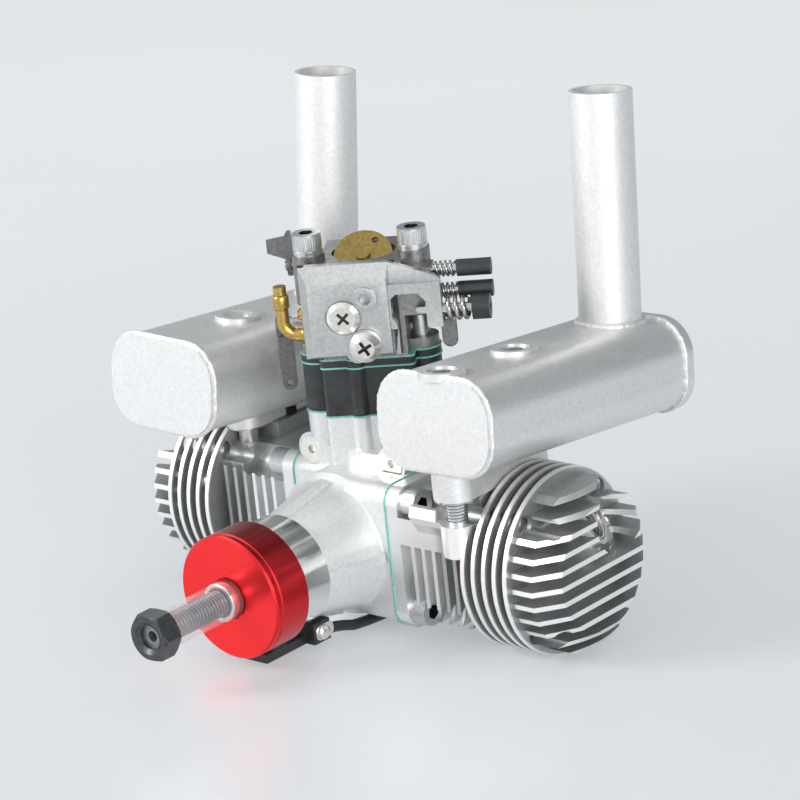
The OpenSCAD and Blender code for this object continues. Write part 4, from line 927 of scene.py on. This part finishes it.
class ENGINE_OT_clip(Operator):
    """Adds the clip that holds the sensor's lead, with its screw"""

    bl_idname = "engine.clip"
    bl_label = "Lead clip"

    def execute(self, context):
        place = MIDDLE @ Matrix.Translation(CLIP_SCREW) @ Matrix.Rotation(pi / 2, 4, "Y")
        bm = bmesh.new()
        turn_profile(bm, place, [(0, 1.7), (1.2, 1.7), (2.1, 1.2), (2.3, 0.4), (2.3, 0), (0, 0)], steps=32)
        finish_piece("clip_screw", bm, FINISHES["bright_screw"], "engine")
        bm = bmesh.new()
        bmesh.ops.create_cube(bm, size=1.0)
        bmesh.ops.scale(bm, vec=CLIP_SIZE, verts=bm.verts)
        edges = [e for e in bm.edges if abs((e.verts[0].co - e.verts[1].co).x) > 0.1 * MM]
        bmesh.ops.bevel(
            bm, geom=edges, offset=2.0 * MM, offset_type="OFFSET", segments=6, profile=0.5, affect="EDGES",
            clamp_overlap=True, material=-1,
        )
        shift = MIDDLE @ Matrix.Translation(CLIP_PLATE)
        bmesh.ops.transform(bm, matrix=shift, verts=bm.verts)
        finish_piece("clip_plate", bm, FINISHES["bright_screw"], "engine", crease=CRISP)
        return {"FINISHED"}


class ENGINE_OT_fuel_tube(Operator):
    """Bends the brass fuel tube on the carburettor's left side"""

    bl_idname = "engine.fuel_tube"
    bl_label = "Fuel tube"

    def execute(self, context):
        place = carb_matrix() @ Matrix.Translation((ELBOW_X, ELBOW_Y, ELBOW_Z))
        bend = 4.2 * MM
        path = [Vector((8.4 * MM, 0, 0)), Vector((6.2 * MM, 0, 0))]
        for k in range(17):
            turn = k / 16 * pi / 2
            path.append(Vector((bend - bend * sin(turn), 0, bend - bend * cos(turn))))
        path += [Vector((0, 0, z * MM)) for z in (6, 8, 10, 12, 14, 15)]
        tube = add_curve("fuel_tube", [place @ p for p in path], 3.9 * MM, FINISHES["brass"])
        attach(tube, "engine")
        bm = bmesh.new()
        turn_profile(bm, place, [
            (1.85, 8.0), (2.2, 8.35), (2.4, 8.8), (2.4, 11.8), (2.2, 12.25), (1.85, 12.6),
        ], closed=True, steps=40)
        turn_profile(bm, place @ Matrix.Translation((5.2 * MM, 0, 0)) @ Matrix.Rotation(pi / 2, 4, "Y"), [
            (1.8, 0), (2.3, 0.2), (2.3, 1.7), (1.8, 1.8),
        ], closed=True, steps=40)
        finish_piece("fuel_tube_collar", bm, FINISHES["brass"], "engine")
        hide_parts("fuel_elbow")
        return {"FINISHED"}


class ENGINE_OT_springs(Operator):
    """Winds the springs of the two needles, the idle screw and the throttle"""

    bl_idname = "engine.springs"
    bl_label = "Springs"

    def execute(self, context):
        bm = bmesh.new()
        for z in NEEDLE_HEIGHTS:
            place = carb_spot(NEEDLE_SPRING, NEEDLE_Y, z)
            add_helix(bm, place, 1.98 * MM, 0.44 * MM, 7.2 * MM, 4.5, sides=10, steps=32)
        place = carb_spot(IDLE_SPRING, IDLE_Y, IDLE_Z)
        add_helix(bm, place, 3.0 * MM, 0.66 * MM, 8.8 * MM, 3.5, sides=12, steps=36)
        piece = finish_piece("adjuster_coils", bm, FINISHES["spring"], "engine")
        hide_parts("adjuster_springs")

        bm = bmesh.new()
        place = carb_spot(THROTTLE_SPRING, BORE_Y, THROTTLE_Z)
        add_helix(bm, place, 2.65 * MM, 0.4 * MM, 4 * MM, 4.25, sides=10, steps=32)
        piece = finish_piece("throttle_coil", bm, FINISHES["spring"], "throttle")
        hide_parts("throttle_spring")
        return {"FINISHED"}


class ENGINE_OT_knurls(Operator):
    """Adds knurled rings round the heads of the cap screws"""

    bl_idname = "engine.knurls"
    bl_label = "Screw knurls"

    def execute(self, context):
        bm = bmesh.new()
        for side in (0, pi):
            for sy in (-1, 1):
                for sz in (-1, 1):
                    spot = Vector((FLANGE_FACE + 0.8 * MM, -STAGGER + sy * BASE_BOLT, sz * BASE_BOLT))
                    place = MIDDLE @ Matrix.Rotation(side, 4, "Z") @ Matrix.Translation(spot)
                    self.add_head(bm, place @ Matrix.Rotation(pi / 2, 4, "Y"))
        for s in (-1, 1):
            spot = (s * CARB_BOLT_X, 0, CARB_TOP + CARB_HEAD_LOW)
            self.add_head(bm, carb_matrix() @ Matrix.Translation(spot))
        finish_piece("screw_knurls", bm, FINISHES["screw"], "engine", crease=CRISP)
        return {"FINISHED"}

    def add_head(self, bm, place):
        add_knurl(bm, place, 4.0 * MM, 4.26 * MM, 4.33 * MM, 0.35 * MM, 4.35 * MM, 44)


class ENGINE_OT_finishes(Operator):
    """Gives every solid of the engine its own finish"""

    bl_idname = "engine.finishes"
    bl_label = "Finishes"

    def execute(self, context):
        for finish, names in FINISH_OF_NODE.items():
            for name in names:
                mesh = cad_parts[name].data
                mesh.materials.clear()
                mesh.materials.append(FINISHES[finish])
        to_carb = carb_matrix().inverted()
        for name in ("high_needle", "low_needle"):
            dress_faces(name, FINISHES["plastic"], lambda p: (to_carb @ p).x > NEEDLE_CAP)
        dress_faces("idle_screw", FINISHES["plastic"], lambda p: (to_carb @ p).x > IDLE_CAP)
        dress_faces("crankshaft", FINISHES["thread"], lambda p: p.y < MIDDLE_Y + THREAD_FROM * MM)
        # Painted shade: the faces inside the hex sockets and the cover screws' crosses take the near black
        # finish
        dress_faces("base_bolts", FINISHES["socket"], self.in_base_socket)
        dress_faces("carb_bolts", FINISHES["socket"], lambda p: self.in_carb_socket(to_carb @ p))
        dress_faces("pump_screws", FINISHES["socket"], lambda p: self.in_cross(to_carb @ p))
        return {"FINISHED"}

    def in_base_socket(self, point):
        """Whether a face of the base bolts is inside a hex socket."""
        p = MIDDLE.inverted() @ point
        across = p.y + STAGGER if p.x > 0 else p.y - STAGGER
        near = hypot(abs(across) - BASE_BOLT, abs(p.z) - BASE_BOLT)
        return near < 2.15 * MM and FLANGE_FACE + 1.6 * MM < abs(p.x) < FLANGE_FACE + 5.7 * MM

    def in_carb_socket(self, p):
        """Whether a face of the carburettor bolts, in its frame, is inside a hex socket."""
        near = hypot(abs(p.x) - CARB_BOLT_X, p.y) < 2.3 * MM
        return near and CARB_TOP + 4 * MM < p.z < CARB_TOP + 8.1 * MM

    def in_cross(self, p):
        """Whether a face of the cover's screws, in the carburettor's frame, is inside a cross."""
        for x, height, top in CROSSES:
            near = hypot(p.x - x * MM, p.z - CARB_LOW - height * MM)
            if near < 2.3 * MM and top * MM + 0.05 * MM < p.y < (top + 2.2) * MM:
                return True
        return False


class ENGINE_PT_panel(Panel):
    """Shows the sizes and colours of the engine's looks, and their buttons"""

    bl_idname = "ENGINE_PT_panel"
    bl_label = "Engine"
    bl_space_type = "VIEW_3D"
    bl_region_type = "UI"
    bl_category = "Engine"

    def draw(self, context):
        layout = self.layout
        scene = context.scene
        for group in (scene.engine_colours, scene.engine_lead, scene.engine_thread, scene.engine_stage):
            box = layout.box()
            for name in group.bl_rna.properties.keys():
                if name not in ("rna_type", "name"):
                    box.prop(group, name)
        for operator in OPERATORS:
            layout.operator(operator.bl_idname)


OPERATORS = (
    ENGINE_OT_stage,
    ENGINE_OT_lead,
    ENGINE_OT_welds,
    ENGINE_OT_thread,
    ENGINE_OT_castings,
    ENGINE_OT_clip,
    ENGINE_OT_sleeve,
    ENGINE_OT_fuel_tube,
    ENGINE_OT_springs,
    ENGINE_OT_knurls,
    ENGINE_OT_finishes,
)
GROUPS = (EngineColours, LeadSizes, ThreadSizes, StageSizes)


def register():
    for cls in (*GROUPS, *OPERATORS, ENGINE_PT_panel):
        bpy.utils.register_class(cls)
    bpy.types.Scene.engine_colours = PointerProperty(type=EngineColours)
    bpy.types.Scene.engine_lead = PointerProperty(type=LeadSizes)
    bpy.types.Scene.engine_thread = PointerProperty(type=ThreadSizes)
    bpy.types.Scene.engine_stage = PointerProperty(type=StageSizes)


def unregister():
    del bpy.types.Scene.engine_colours
    del bpy.types.Scene.engine_lead
    del bpy.types.Scene.engine_thread
    del bpy.types.Scene.engine_stage
    for cls in (ENGINE_PT_panel, *reversed(OPERATORS), *reversed(GROUPS)):
        bpy.utils.unregister_class(cls)


def main():
    register()
    FINISHES.update(build_finishes())
    bpy.ops.engine.stage()
    bpy.ops.engine.lead()
    bpy.ops.engine.welds()
    bpy.ops.engine.thread()
    bpy.ops.engine.castings()
    bpy.ops.engine.clip()
    bpy.ops.engine.sleeve()
    bpy.ops.engine.fuel_tube()
    bpy.ops.engine.springs()
    bpy.ops.engine.knurls()
    bpy.ops.engine.finishes()


if __name__ == "__main__":
    main()
